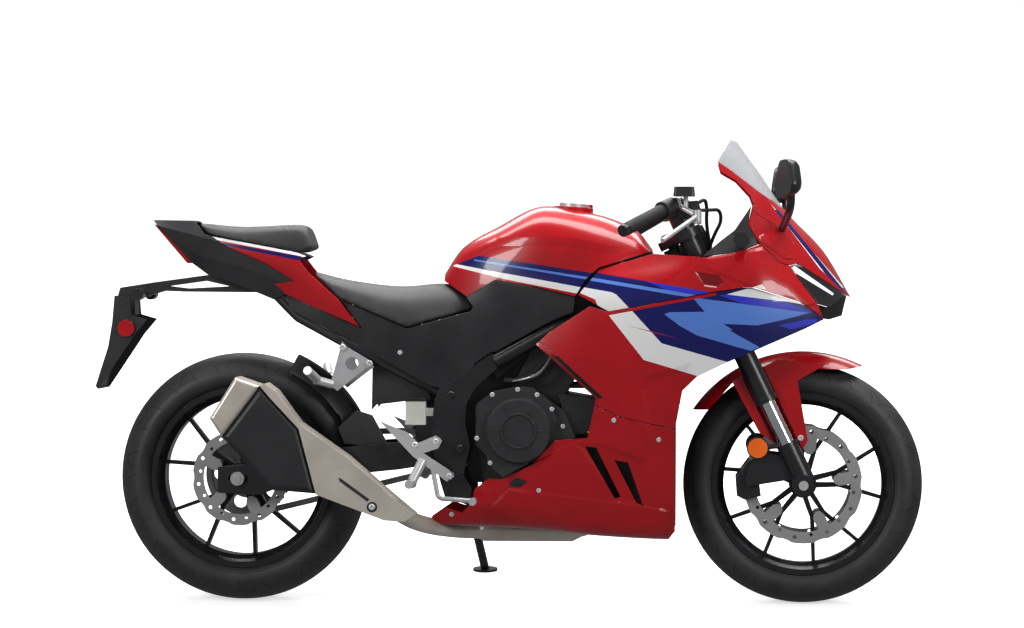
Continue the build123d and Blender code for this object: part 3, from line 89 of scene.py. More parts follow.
class Shader:
    """Adds nodes to one material. Its self.spot is a place on the upright bike, in metres."""

    def __init__(self, name):
        self.mat = bpy.data.materials.new(name)
        self.mat.use_nodes = True
        self.nodes = self.mat.node_tree.nodes
        self.links = self.mat.node_tree.links
        self.bsdf = self.nodes["Principled BSDF"]
        place = self.nodes.new("ShaderNodeTexCoord")
        turn = self.nodes.new("ShaderNodeMapping")
        turn.inputs["Rotation"].default_value = (LEAN, 0, 0)
        turn.inputs["Location"].default_value = -(Matrix.Rotation(LEAN, 3, "X") @ SHIFT)
        self.links.new(place.outputs["Object"], turn.inputs["Vector"])
        self.spot = turn.outputs["Vector"]

    def put(self, socket, value):
        """Sets an input of the main shader to a value or a link."""
        target = self.bsdf.inputs[socket] if isinstance(socket, str) else socket
        if isinstance(value, bpy.types.NodeSocket):
            self.links.new(value, target)
        else:
            target.default_value = value
        return self

    def math(self, how, a, b=0.0, c=0.0, clamp=False):
        made = self.nodes.new("ShaderNodeMath")
        made.operation, made.use_clamp = how, clamp
        for i, value in enumerate((a, b, c)):
            self.put(made.inputs[i], value)
        return made.outputs[0]

    def noise(self, scale, detail=2.0, rough=0.5, spot=None):
        made = self.nodes.new("ShaderNodeTexNoise")
        self.put(made.inputs["Vector"], spot or self.spot)
        self.put(made.inputs["Scale"], scale)
        self.put(made.inputs["Detail"], detail)
        self.put(made.inputs["Roughness"], rough)
        return made.outputs["Fac"]

    def ramp(self, value, low, high, out_low=0.0, out_high=1.0):
        made = self.nodes.new("ShaderNodeMapRange")
        for key, v in (("Value", value), ("From Min", low), ("From Max", high), ("To Min", out_low),
                       ("To Max", out_high)):
            self.put(made.inputs[key], v)
        return made.outputs[0]

    def mix(self, fac, a, b):
        made = self.nodes.new("ShaderNodeMix")
        made.data_type = "RGBA"
        self.put(made.inputs["Factor"], fac)
        for i, colour in ((MIX_A, a), (MIX_B, b)):
            self.put(made.inputs[i], colour)
        return made.outputs[MIX_RESULT]

    def polygon(self, corners, soft=0.0003):
        """Mask of a convex polygon given in mm as (x, z), on the bike's side view."""
        sign = way_round(corners)
        inside = None
        for a, b in zip(corners, corners[1:] + corners[:1]):
            edge = Vector((b[0] - a[0], b[1] - a[1])).normalized()
            inward = Vector((-edge.y, edge.x)) * sign
            dot = self.nodes.new("ShaderNodeVectorMath")
            dot.operation = "DOT_PRODUCT"
            self.put(dot.inputs[0], self.spot)
            self.put(dot.inputs[1], (inward.x, 0, inward.y))
            reach = (a[0] * inward.x + a[1] * inward.y) / 1000
            far = self.math("SUBTRACT", dot.outputs["Value"], reach)
            inside = far if inside is None else self.math("MINIMUM", inside, far)
        return self.math("MULTIPLY_ADD", inside, 1 / soft, 0.5, clamp=True)

    def bump(self, height, strength, distance=0.001, normal=None):
        made = self.nodes.new("ShaderNodeBump")
        self.put(made.inputs["Height"], height)
        self.put(made.inputs["Strength"], strength)
        self.put(made.inputs["Distance"], distance)
        if normal is not None:
            self.put(made.inputs["Normal"], normal)
        return made.outputs[0]

    def rounded(self, radius):
        made = self.nodes.new("ShaderNodeBevel")
        made.samples = 3
        self.put(made.inputs["Radius"], radius)
        return made.outputs[0]


RED = (0.43, 0.002, 0.006, 1)
NAVY = (0.002, 0.003, 0.095, 1)
ROYAL = (0.022, 0.030, 0.48, 1)
SKY = (0.085, 0.20, 0.60, 1)
WHITE = (0.78, 0.78, 0.76, 1)
BLACK = (0.016, 0.016, 0.017, 1)
# painted shade: near-black standing for the shade inside the fairing's air-outlet slot and the tyre's tread
# grooves
HOLLOW_SHADE = (0.004, 0.004, 0.004, 1)
# painted shade: darker red for the shade under the side fairing's lip and in the scoop's recess
SHADE_RED = (0.16, 0.001, 0.003, 1)  # red in the shade of a fold


def paint(name, shapes=(), base=RED, reliefs=()):
    """Gloss paint under a clear coat, with flat coloured shapes over the base colour.

    Each relief is a facet pressed out of the panel, or into it below zero: height, width of its slope and
    corners, all in mm.
    """
    s = Shader(name)
    fine = s.noise(420, 3)
    wide = s.noise(9, 2)
    deep = tuple(v * 0.86 for v in base[:3]) + (1,)
    colour = s.mix(s.ramp(wide, 0.35, 0.65), base, deep)
    for tone, corners in shapes:
        colour = s.mix(s.polygon(corners), colour, tone)
    s.put("Base Color", colour)
    s.put("Roughness", s.ramp(fine, 0.3, 0.7, 0.26, 0.34))
    s.put("Coat Weight", 0.55).put("Coat Roughness", 0.04).put("Coat IOR", 1.42)
    s.put("Specular IOR Level", 0.3)
    level = s.math("MULTIPLY", wide, 0.03)
    for height, slope, corners in reliefs:
        level = s.math("MULTIPLY_ADD", s.polygon(corners, slope / 1000), height, level)
    normal = s.bump(level, 1.0, 0.001, s.rounded(0.0016))
    s.put("Normal", normal).put("Coat Normal", normal)
    return s.mat


def plastic(name, colour=BLACK, rough=0.42, grain=900, strength=0.25, edge=0.0012):
    """Moulded plastic or satin paint with a fine grain."""
    s = Shader(name)
    fine = s.noise(grain, 4, 0.6)
    wide = s.noise(14, 3)
    light = tuple(min(1, v * 1.35) for v in colour[:3]) + (1,)
    s.put("Base Color", s.mix(s.ramp(wide, 0.35, 0.7), colour, light))
    s.put("Roughness", s.ramp(wide, 0.3, 0.7, rough * 0.9, min(1, rough * 1.12)))
    s.put("Normal", s.bump(fine, strength, 0.0003, s.rounded(edge)))
    return s.mat


def metal(name, colour, rough=0.3, strength=0.15, cast=False, metallic=1.0):
    """Bare metal, brushed along X or with a cast grain."""
    s = Shader(name)
    stretch = s.nodes.new("ShaderNodeMapping")
    stretch.inputs["Scale"].default_value = (90, 90, 90) if cast else (4, 900, 900)
    s.links.new(s.spot, stretch.inputs["Vector"])
    lines = s.noise(8 if cast else 1, 5, 0.6, stretch.outputs["Vector"])
    wide = s.noise(11, 3)
    dark = tuple(v * 0.72 for v in colour[:3]) + (1,)
    s.put("Base Color", s.mix(s.ramp(wide, 0.35, 0.7, 0.0, 0.7), colour, dark))
    s.put("Metallic", metallic)
    s.put("Roughness", s.ramp(lines, 0.3, 0.7, rough * 0.8, rough * 1.25))
    s.put("Normal", s.bump(lines, strength, 0.0002, s.rounded(0.0008)))
    return s.mat


# ---- Livery: flat colour areas as convex outlines of the side view, in mm (x, z), later over earlier
TANK_SHAPES = [
    (NAVY, ((-161, 849), (-105, 870), (340, 803), (340, 745))),
    (SKY, ((-118, 861), (340, 791), (340, 783), (-118, 857))),
    (WHITE, ((-174, 844), (-164, 848.5), (340, 758), (340, 738), (-42, 812))),
]
SIDE_SHAPES = [
    (NAVY, ((228, 733), (290, 748), (480, 790), (760, 790), (760, 600), (516, 606), (353, 654), (277, 735))),
    (NAVY, ((277, 738), (353, 654), (516, 607), (620, 640), (760, 700), (760, 800), (480, 800))),
    (WHITE, ((216, 731), (277, 737), (353, 654), (309, 613))),
    (WHITE, ((309, 613), (353, 654), (516, 608), (470, 565))),
    (SKY, ((359, 726), (373, 731), (459, 732), (594, 645), (573, 636), (540, 645), (440, 674), (398, 697))),
    (SKY, ((459, 732), (433, 762), (439, 766), (560, 751), (590, 699), (492, 703))),
    (SKY, ((555, 752), (722, 731), (658, 714), (590, 699), (560, 700))),
    (NAVY, ((373, 731.5), (459, 732.5), (433, 762), (415, 764))),
    (NAVY, ((492, 703), (590, 699), (640, 708), (640, 660), (594, 645), (540, 675))),
    (ROYAL, ((494, 773), (513, 775), (654, 758), (722, 732), (714, 730), (555, 751))),
    (ROYAL, ((654, 759), (690, 745), (738, 722), (722, 731))),
    (WHITE, ((513, 775), (574, 792), (609, 787), (654, 758))),
    (WHITE, ((609, 787), (687, 767), (702, 751), (654, 758))),
    (ROYAL, ((641, 699), (710, 713), (734, 714), (738, 705), (670, 689))),
    (RED, ((227, 712), (227, 709.5), (333, 680.2), (509, 638.3), (509, 640.8), (333, 682.7))),
    (RED, ((205, 735), (230, 750), (487, 800), (487, 773), (214, 721))),
    # painted shade: the air-outlet slot, drawn as a near-black shape on the panel
    (HOLLOW_SHADE, ((80, 625), (98, 621), (209, 519), (197, 517))),
    # painted shade under the lip below the slot, which is also pressed in as a relief
    (SHADE_RED, ((30, 652), (78, 625), (196, 517), (186, 500))),
]
PANEL_SHAPES = [
    (NAVY, ((120, 838), (197, 827), (480, 779), (480, 700), (215, 733), (188, 762), (140, 777))),
    (ROYAL, ((312, 807.5), (500, 776), (500, 768), (447, 773), (372, 783))),
    (SKY, ((150, 820), (184, 815), (380, 783), (450, 771), (415, 769), (329, 780.5), (179, 807.5),
           (140, 814))),
    (WHITE, ((120, 795), (163, 791), (229, 779.5), (240, 774), (200, 757), (188, 762), (148, 775))),
    (WHITE, ((188, 762), (240, 774.5), (275, 738), (205, 722))),
    (WHITE, ((574, 792), (600, 800), (609, 787))),
    # painted shade in the scoop's recess, which is also pressed in as a relief
    (SHADE_RED, ((438, 829), (493, 821), (505, 804), (488, 793), (458, 797))),
]
NOSE_SHAPES = [
    (WHITE, ((622, 1000), (636, 985), (806, 792), (800, 790), (745, 838))),
    (NAVY, ((632, 985), (642, 985), (815, 775), (800, 784), (757, 828))),
]
TAIL_SHAPES = [
    (WHITE, ((-790, 930), (-520, 868), (-520, 862), (-780, 911))),
    (NAVY, ((-770, 905), (-520, 862), (-520, 850), (-750, 896))),
]
# Facets of the panels, as paint() takes them
TANK_RELIEFS = [(-2.5, 22, ((-170, 850), (-60, 905), (120, 905), (250, 880), (165, 812), (-42, 812)))]
PANEL_RELIEFS = [
    (2.0, 8, ((456, 842), (700, 742), (735, 752), (671, 846), (600, 888), (461, 864))),
    (-2.5, 4, ((438, 829), (493, 821), (505, 804), (488, 793), (458, 797))),
]
SIDE_RELIEFS = [
    (-4, 16, ((309, 540), (318, 566), (420, 596), (420, 400), (337, 349))),
    (-3, 4, ((74, 676), (82, 630), (205, 520), (186, 500), (30, 650))),
]
COWL_RELIEFS = [
    (-4, 16, ((309, 540), (420, 596), (420, 140), (374, 140), (337, 349))),
    (-4, 4, ((32, 353), (88, 418), (176, 469), (169, 419), (81, 377))),
    (3, 6, ((-96, 218), (-25, 290), (308, 249), (372, 235), (372, 150), (-96, 180))),
    (-3, 10, ((150, 400), (200, 402), (310, 360), (312, 258), (250, 262))),
]
NOSE_RELIEFS = [
    (3, 3, ((594, 918), (605, 924), (681, 863), (658, 862), (598, 905))),
    (3, 2.5, ((576, 997), (588, 991), (629, 949), (620, 953), (581, 980))),
    (3, 3, ((628, 960), (676, 906), (638, 934))),
]

# ---- Materials
m_tank = paint("tank_paint", TANK_SHAPES, reliefs=TANK_RELIEFS)
m_side = paint("side_paint", SIDE_SHAPES, reliefs=SIDE_RELIEFS)
m_panel = paint("panel_paint", PANEL_SHAPES, reliefs=PANEL_RELIEFS)
m_nose = paint("nose_paint", NOSE_SHAPES, reliefs=NOSE_RELIEFS)
m_tail = paint("tail_paint", TAIL_SHAPES)
m_red = paint("red_paint_plain")
m_cowl = paint("cowl_paint", reliefs=COWL_RELIEFS)
m_black = plastic("black_plastic", BLACK, 0.40)
m_satin = plastic("black_satin_metal", (0.012, 0.012, 0.013, 1), 0.30, 300, 0.05)
m_case = plastic("engine_paint", (0.020, 0.020, 0.021, 1), 0.40, 220, 0.35, 0.002)
m_wheel = plastic("wheel_paint", (0.009, 0.009, 0.010, 1), 0.26, 300, 0.04, 0.002)
m_disc = metal("disc_steel", (0.46, 0.46, 0.45, 1), 0.36, metallic=0.6)
m_steel = metal("dark_steel", (0.35, 0.34, 0.33, 1), 0.35)
m_alloy = metal("cast_alloy", (0.62, 0.62, 0.63, 1), 0.36, cast=True, metallic=0.5)
m_chrome = metal("fork_chrome", (0.78, 0.78, 0.80, 1), 0.10, strength=0.02)
m_screw = metal("screw_steel", (0.80, 0.80, 0.80, 1), 0.35, strength=0.02, metallic=0.4)
m_champagne, m_shield = [metal(name, (0.68, 0.62, 0.54, 1), 0.34, 0.015, cast=True, metallic=0.5)
                         for name in ("exhaust_steel", "shield_steel")]
m_muffler = plastic("muffler_black", (0.011, 0.011, 0.012, 1), 0.45, 1400, 0.35)
m_grip = plastic("grip_rubber", (0.010, 0.010, 0.010, 1), 0.75, 500, 0.4)
m_spring = plastic("spring_black", (0.012, 0.012, 0.012, 1), 0.3, 300, 0.05)
m_orange = plastic("orange_lens", (0.85, 0.13, 0.01, 1), 0.12, 900, 0.1)
m_redlens = plastic("red_lens", (0.42, 0.005, 0.008, 1), 0.10, 900, 0.1)
m_smoke = plastic("smoked_lens", (0.02, 0.02, 0.022, 1), 0.08, 900, 0.05)
m_milky = plastic("milky_plastic", (0.55, 0.55, 0.50, 1), 0.4, 300, 0.1)


def vinyl(name, colour, rough, cell, deep):
    """Seat vinyl with a pebbled grain."""
    s = Shader(name)
    cells = s.nodes.new("ShaderNodeTexVoronoi")
    cells.feature = "DISTANCE_TO_EDGE"
    s.put(cells.inputs["Vector"], s.spot)
    s.put(cells.inputs["Scale"], cell)
    grain = s.ramp(cells.outputs["Distance"], 0.0, 0.12)
    wide = s.noise(18, 3)
    light = tuple(v * 1.5 for v in colour[:3]) + (1,)
    s.put("Base Color", s.mix(s.ramp(wide, 0.35, 0.65), colour, light))
    s.put("Roughness", s.ramp(wide, 0.3, 0.7, rough * 0.9, rough * 1.1))
    s.put("Normal", s.bump(grain, deep, 0.0003))
    return s.mat


m_seat = vinyl("seat_vinyl", (0.022, 0.022, 0.023, 1), 0.52, 420, 0.35)


def clear_screen():
    """Tinted see-through screen."""
    s = Shader("clear_screen")
    s.put("Base Color", (0.50, 0.51, 0.53, 1)).put("Alpha", s.ramp(s.noise(6, 2), 0.3, 0.7, 0.50, 0.58))
    s.put("Roughness", s.ramp(s.noise(30, 2), 0.3, 0.7, 0.02, 0.05)).put("IOR", 1.45)
    return s.mat


m_screen = clear_screen()


def lamp_lens():
    """Dark lens with a bright bar of light along its top edge."""
    s = Shader("lamp_lens")
    bar = s.polygon([(675, 842), (681, 845), (779, 777), (776, 773), (683, 829)], 0.002)
    rim = s.polygon([(673, 846), (690, 851), (790, 786), (779, 777), (681, 845)], 0.002)
    dark = s.mix(rim, (0.012, 0.012, 0.014, 1), (0.22, 0.22, 0.23, 1))
    s.put("Base Color", s.mix(bar, dark, (0.9, 0.92, 0.95, 1)))
    s.put("Emission Color", (0.93, 0.96, 1, 1))
    s.put("Emission Strength", s.math("MULTIPLY", bar, 0.7))
    s.put("Roughness", s.ramp(s.noise(60, 2), 0.3, 0.7, 0.05, 0.09)).put("Coat Weight", 0.6)
    s.put("Normal", s.rounded(0.002))
    return s.mat


m_lamp = lamp_lens()
m_cover = plastic("cover_black", (0.011, 0.011, 0.012, 1), 0.34, 700, 0.10, 0.0025)


WALL_RIB = 0.0065  # from rib to rib on the tyre walls, in m


def tyre_rubber(name, centre, outer, half):
    """Tyre with slanted tread grooves and a ribbed wall, by bump, with painted shade darkening the grooves.

    The centre is (x, z) in mm, outer the radius and half the half width of the tyre.
    """
    s = Shader(name)
    apart = s.nodes.new("ShaderNodeSeparateXYZ")
    s.put(apart.inputs[0], s.spot)
    x = s.math("SUBTRACT", apart.outputs[0], centre[0] / 1000)
    z = s.math("SUBTRACT", apart.outputs[2], centre[1] / 1000)
    y = apart.outputs[1]
    angle = s.math("ARCTAN2", z, x)
    radius = s.math("SQRT", s.math("ADD", s.math("MULTIPLY", x, x), s.math("MULTIPLY", z, z)))
    far = s.math("ABSOLUTE", y)
    share = s.math("DIVIDE", far, half / 1000)
    side_of = s.math("SIGN", y)
    groove = None
    for count, slant, start, end, wide, offset in (
        (14, 0.55, 0.10, 0.72, 0.0040, 0.0),
        (14, -0.30, 0.30, 0.86, 0.0030, 0.5),
        (28, 0.20, 0.62, 0.95, 0.0022, 0.25),
    ):
        lean = s.math("MULTIPLY", share, slant)
        lean = s.math("ADD", lean, s.math("MULTIPLY", side_of, 0.11))
        phase = s.math("ADD", s.math("MULTIPLY", s.math("ADD", angle, lean), count / (2 * math.pi)), offset)
        near = s.math("ABSOLUTE", s.math("SUBTRACT", s.math("FRACT", phase), 0.5))
        gap = s.math("MULTIPLY", near, 2 * math.pi * outer / 1000 / count)
        line = s.ramp(gap, wide * 0.35, wide * 0.6, 1.0, 0.0)
        fade_in, fade_out = s.ramp(share, start, start + 0.03), s.ramp(share, end - 0.03, end, 1.0, 0.0)
        band = s.math("MULTIPLY", fade_in, fade_out)
        face = s.ramp(radius, (outer - 55) / 1000, (outer - 52) / 1000)
        tread = s.math("MULTIPLY", s.math("MULTIPLY", line, band), face)
        groove = tread if groove is None else s.math("MAXIMUM", groove, tread)
    rings = s.math("SINE", s.math("MULTIPLY", radius, 2 * math.pi / WALL_RIB))
    wall = s.ramp(radius, (outer - 56) / 1000, (outer - 62) / 1000, 0.0, 1.0)
    ribs = s.math("MULTIPLY", s.math("MULTIPLY", rings, wall), 0.12)
    grain = s.noise(700, 4, 0.6)
    height = s.math("ADD", s.math("SUBTRACT", ribs, groove), s.math("MULTIPLY", grain, 0.06))
    wide_noise = s.noise(16, 3)
    rubber = s.mix(s.ramp(wide_noise, 0.35, 0.65), (0.018, 0.018, 0.018, 1), (0.028, 0.028, 0.028, 1))
    # painted shade: the grooves are darkened towards near-black
    s.put("Base Color", s.mix(groove, rubber, HOLLOW_SHADE))
    s.put("Roughness", s.ramp(wide_noise, 0.3, 0.7, 0.50, 0.62))
    s.put("Normal", s.bump(height, 0.9, 0.0022))
    return s.mat


m_front_tyre = tyre_rubber("front_tyre_rubber", (705, 300), 300, 62)
m_rear_tyre = tyre_rubber("rear_tyre_rubber", (-705, 312), 312, 84)

# ---- CAD nodes keep their shape and take these finishes
FINISH = (
    (m_front_tyre, "front_tyre"),
    (m_rear_tyre, "rear_tyre"),
    (m_wheel, "front_wheel rear_wheel"),
    (m_disc, "front_discs rear_disc"),
    (m_steel, "rear_sprocket chain"),
    (m_satin, "fork_outer_tubes fork_feet fork_yokes handlebars front_calipers frame subframe radiator "
              "swingarm rear_caliper side_stand"),
    (m_chrome, "fork_inner_tubes"),
    (m_alloy, "front_axle levers rear_axle rider_footrests passenger_footrests fuel_cap"),
    (m_grip, "grips"),
    (m_black, "switch_housings rear_mudguard tail_cowl side_covers nose_trim instrument_panel mirrors "
              "plate_bracket"),
    (m_red, "front_mudguard lower_cowls"),
    (m_case, "engine engine_covers"),
    (m_muffler, "muffler_body"),
    (m_champagne, "muffler_cap exhaust_pipe"),
    (m_shield, "muffler_shield"),
    (m_spring, "shock_absorber"),
    (m_tank, "fuel_tank"),
    (m_seat, "rider_seat passenger_seat"),
    (m_tail, "tail_side_panels"),
    (m_redlens, "rear_lamps"),
    (m_nose, "nose_cowl"),
    (m_screen, "windscreen"),
    (m_smoke, "headlamps front_turn_signals rear_turn_signals"),
    (m_panel, "upper_side_panels"),
    (m_side, "side_fairings"),
    (m_milky, "rear_fluid_box"),
)
for material, names in FINISH:
    for name in names.split():
        piece = NODES[name]
        if not piece.data.materials:
            piece.data.materials.append(material)
        for i in range(len(piece.data.materials)):
            piece.data.materials[i] = material
        for slot in piece.material_slots:
            slot.material = material

# ---- Smooth body panels, drawn through the same cross-sections as the CAD source
# Each row is a station X and the (half width, height) points of its right half, in mm. The EDGE outlines and
# LAMP, TAIL_RED and SLOTS are (x, z) on the side view.
TANK = (
    (-205, (0, 812), (26, 806), (46, 785), (52, 740)),
    (-150, (0, 893), (42, 884), (78, 850), (92, 740)),
    (-70, (0, 942), (62, 930), (112, 890), (126, 740)),
    (60, (0, 999), (74, 986), (140, 935), (152, 740)),
    (190, (0, 977), (80, 966), (152, 905), (166, 740)),
    (290, (0, 935), (72, 926), (130, 888), (150, 740)),
    (330, (0, 884), (60, 880), (112, 872), (132, 740)),
)
TANK_EDGE = (
    (-196, 860), (-196, 806), (-135, 766), (-62, 809), (38, 792), (138, 768), (143, 776), (164, 810),
    (195, 839), (263, 860), (328, 881), (340, 1010), (-196, 1010),
)
RIDER_SEAT = (
    (-540, (0, 834), (64, 832), (84, 826), (86, 800)),
    (-440, (0, 809), (92, 806), (126, 780), (130, 680)),
    (-300, (0, 795), (92, 788), (138, 744), (142, 660)),
    (-200, (0, 802), (62, 796), (108, 752), (116, 660)),
    (-110, (0, 796), (44, 790), (84, 748), (96, 660)),
)
RIDER_EDGE = (
    (-536, 840), (-526, 827), (-454, 760), (-283, 689), (-124, 732), (-118, 742), (-135, 766), (-196, 806),
    (-300, 820),
)
PASSENGER_SEAT = (
    (-830, (0, 954), (44, 952), (56, 944), (58, 900)),
    (-700, (0, 944), (74, 940), (94, 920), (99, 880)),
    (-560, (0, 949), (84, 946), (100, 924), (102, 860)),
    (-520, (0, 930), (80, 926), (96, 905), (98, 860)),
)
PASSENGER_EDGE = (
    (-825, 958), (-795, 923), (-780, 917.5), (-561, 877.5), (-545, 879), (-522, 888), (-543, 952),
    (-574, 956), (-656, 950),
)
TAIL = (
    (-290, (0, 800), (100, 798), (128, 760), (132, 700), (128, 560)),
    (-450, (0, 830), (100, 826), (126, 770), (122, 700), (112, 560)),
    (-570, (0, 900), (92, 896), (116, 850), (110, 790), (80, 660)),
    (-700, (0, 930), (86, 926), (106, 890), (98, 840), (66, 720)),
    (-800, (0, 958), (66, 956), (86, 915), (78, 865), (52, 800)),
    (-940, (0, 960), (26, 959), (34, 950), (30, 935), (24, 900)),
)
TAIL_RED = (
    (-555, 859), (-530, 826), (-454, 760), (-399, 690), (-592, 772), (-617, 800), (-570, 806), (-642, 850),
    (-736, 890), (-780, 918), (-561, 878), (-536, 868),
)
COVER = (
    (-600, (0, 800), (70, 796), (100, 770), (98, 700)),
    (-290, (0, 800), (100, 796), (130, 700), (124, 560)),
    (-180, (0, 800), (100, 796), (136, 740), (132, 540)),
    (-60, (0, 840), (110, 836), (146, 800), (146, 560)),
    (140, (0, 840), (120, 836), (164, 770), (160, 640)),
)
COVER_EDGE = (
    (-118, 742), (-135, 766), (-62, 809), (38, 792), (138, 768), (134, 729), (90, 712.5), (40, 686),
    (-60, 630), (-70, 630), (-110, 602), (-140, 554), (-196, 538), (-218, 540), (-454, 668), (-577, 732),
    (-592, 772), (-399, 689), (-453, 760), (-283, 689), (-124, 732),
)
UPPER = (
    (20, (0, 1000), (60, 960), (100, 880), (146, 800), (168, 730), (158, 600)),
    (145, (0, 1040), (60, 990), (104, 900), (142, 850), (180, 768), (172, 620)),
    (331, (0, 1180), (60, 1110), (104, 980), (132, 878), (206, 786), (194, 640)),
    (480, (0, 1215), (56, 1194), (110, 1114), (150, 930), (216, 796), (202, 660)),
    (578, (0, 1107), (54, 1092), (110, 1043), (152, 915), (214, 790), (196, 640)),
    (662, (0, 985), (52, 976), (106, 938), (146, 846), (186, 780), (166, 660)),
    (757, (0, 884), (40, 876), (88, 838), (120, 762), (138, 732), (128, 690)),
    (826, (0, 766), (12, 764), (30, 758), (42, 748), (44, 742), (40, 730)),
)
LAMP = ((671, 846), (690, 851), (812, 772), (767, 742), (739, 750), (692, 812))
NOSE_EDGE = (
    (489, 1107), (497, 1079), (535, 1057), (570, 1019), (578, 998), (566, 947), (595, 900), (646, 853),
    (671, 846), (690, 851), (812, 772), (830, 764), (840, 900), (662, 985), (596, 1028), (523, 1084),
)
SCREEN_EDGE = (
    (489, 1107), (523, 1084), (596, 1028), (662, 985), (700, 1000), (545, 1156), (522, 1163), (508, 1140),
)
PANEL_EDGE = (
    (145, 773), (197, 836), (331, 876), (461, 867), (527, 878), (565, 888), (595, 900), (646, 853),
    (671, 846), (692, 812), (739, 750), (755, 713), (701, 753), (582, 791), (553, 791), (477, 780),
    (222, 731),
)
LOWER = (
    (-255, (0, 420), (60, 400), (128, 300), (130, 225), (116, 190), (40, 186)),
    (-60, (0, 700), (100, 690), (162, 560), (160, 300), (130, 192), (50, 188)),
    (60, (0, 820), (120, 810), (186, 690), (194, 400), (150, 186), (60, 182)),
    (210, (0, 860), (150, 850), (206, 740), (196, 460), (140, 172), (60, 168)),
    (390, (0, 900), (150, 880), (214, 780), (184, 470), (128, 164), (50, 160)),
    (520, (0, 900), (150, 880), (216, 790), (186, 500), (120, 164), (50, 160)),
    (705, (0, 860), (130, 840), (168, 760), (150, 500), (110, 164), (50, 160)),
    (765, (0, 800), (100, 790), (138, 736), (130, 690), (100, 400), (50, 300)),
)
SIDE_EDGE = (
    (222, 731), (477, 780), (553, 791), (582, 791), (701, 753), (755, 713), (704, 688), (518, 608),
    (441, 571), (405, 536), (387, 440), (251, 471), (187, 501), (187, 520), (40, 650), (74, 681), (176, 746),
)
COWL_EDGE = (
    (187, 501), (251, 471), (387, 440), (387, 184), (366, 156), (141, 160), (90, 184), (-104, 192),
    (-244, 201), (-184, 243), (-144, 230), (-118, 259), (-113, 289), (-78, 316), (-42, 316), (34, 354),
    (90, 414), (169, 420),
)
SLOTS = (((164, 398), (192, 395), (252, 272), (237, 268)), ((237, 364), (270, 358), (308, 249), (290, 258)))
SKIN = 4.0  # wall of a panel
SEAM = 0.9  # each panel's share of the gap to its neighbour
WIDE = 400  # beyond the bike's side
CUT_CORNER, CUT_AGAIN = 0.27, 0.25  # share of an edge cut off when a corner is rounded


def mesh_object(name, mesh):
    """New object of the scene with this mesh or curve."""
    made = bpy.data.objects.new(name, mesh)
    scene.collection.objects.link(made)
    return made


def mesh_of(name, work):
    """Mesh of an edit mesh, which is then gone."""
    mesh = bpy.data.meshes.new(name)
    work.to_mesh(mesh)
    work.free()
    return mesh


def from_bmesh(name, work):
    """New object of an edit mesh, with its faces turned outwards."""
    bmesh.ops.recalc_face_normals(work, faces=work.faces)
    return mesh_object(name, mesh_of(name, work))


def strips(work, rings, closed=True):
    """Faces between each ring of corners and the next."""
    for a, b in zip(rings, rings[1:]):
        for i in range(len(a) if closed else len(a) - 1):
            j = (i + 1) % len(a)
            work.faces.new((a[i], a[j], b[j], b[i]))


def facing(way):
    """Rotation that turns Z to a direction."""
    return way.to_track_quat("Z", "Y").to_matrix().to_4x4()


def prism(outline, y0, y1):
    """Solid between two planes of Y, with a side-view outline."""
    work = bmesh.new()
    ends = [[work.verts.new((x, y, z)) for x, z in outline] for y in (y0, y1)]
    for end in ends:
        work.faces.new(end)
    strips(work, ends)
    return from_bmesh("cutter", work)


def cylinder(start, end, radius, sides=48, radius2=None):
    """Cylinder or cone between two points, in mm."""
    start, end = Vector(start), Vector(end)
    work = bmesh.new()
    bmesh.ops.create_cone(work, cap_ends=True, segments=sides, radius1=radius,
                          radius2=radius if radius2 is None else radius2, depth=(end - start).length)
    bmesh.ops.transform(work, matrix=Matrix.Translation((start + end) / 2) @ facing(end - start),
                        verts=work.verts)
    return from_bmesh("cylinder", work)


def evaluated(piece):
    """Mesh of a piece as its modifiers or its curve settings leave it."""
    return bpy.data.meshes.new_from_object(piece.evaluated_get(bpy.context.evaluated_depsgraph_get()))


def baked(piece):
    """Applies a piece's modifiers to its mesh."""
    mesh = evaluated(piece)
    piece.modifiers.clear()
    piece.data = mesh
    return piece


def combine(piece, other, how):
    """Cuts, joins or intersects a piece with another, which is then gone."""
    step = piece.modifiers.new("combine", "BOOLEAN")
    step.operation, step.solver, step.object = how, "EXACT", other
    baked(piece)
    bpy.data.objects.remove(other)
    return piece


def slopes(xs, values):
    """Slopes of a smooth curve through some values that never swings past them."""
    steps = [(b - a) / (q - p) for a, b, p, q in zip(values, values[1:], xs, xs[1:])]
    inner = [0 if a * b <= 0 else 2 * a * b / (a + b) for a, b in zip(steps, steps[1:])]
    return [steps[0]] + inner + [steps[-1]]


def section(points, rounds):
    """Whole cross-section, from the right-hand edge over the top to the left, with round corners."""
    whole = [Vector((-y, z)) for y, z in reversed(points)] + [Vector((y, z)) for y, z in points[1:]]
    for turn in range(rounds):
        cut = CUT_AGAIN if turn else CUT_CORNER
        new = [whole[0]]
        for before, here, after in zip(whole, whole[1:], whole[2:]):
            new += [here.lerp(before, cut), here.lerp(after, cut)]
        whole = new + [whole[-1]]
    return whole


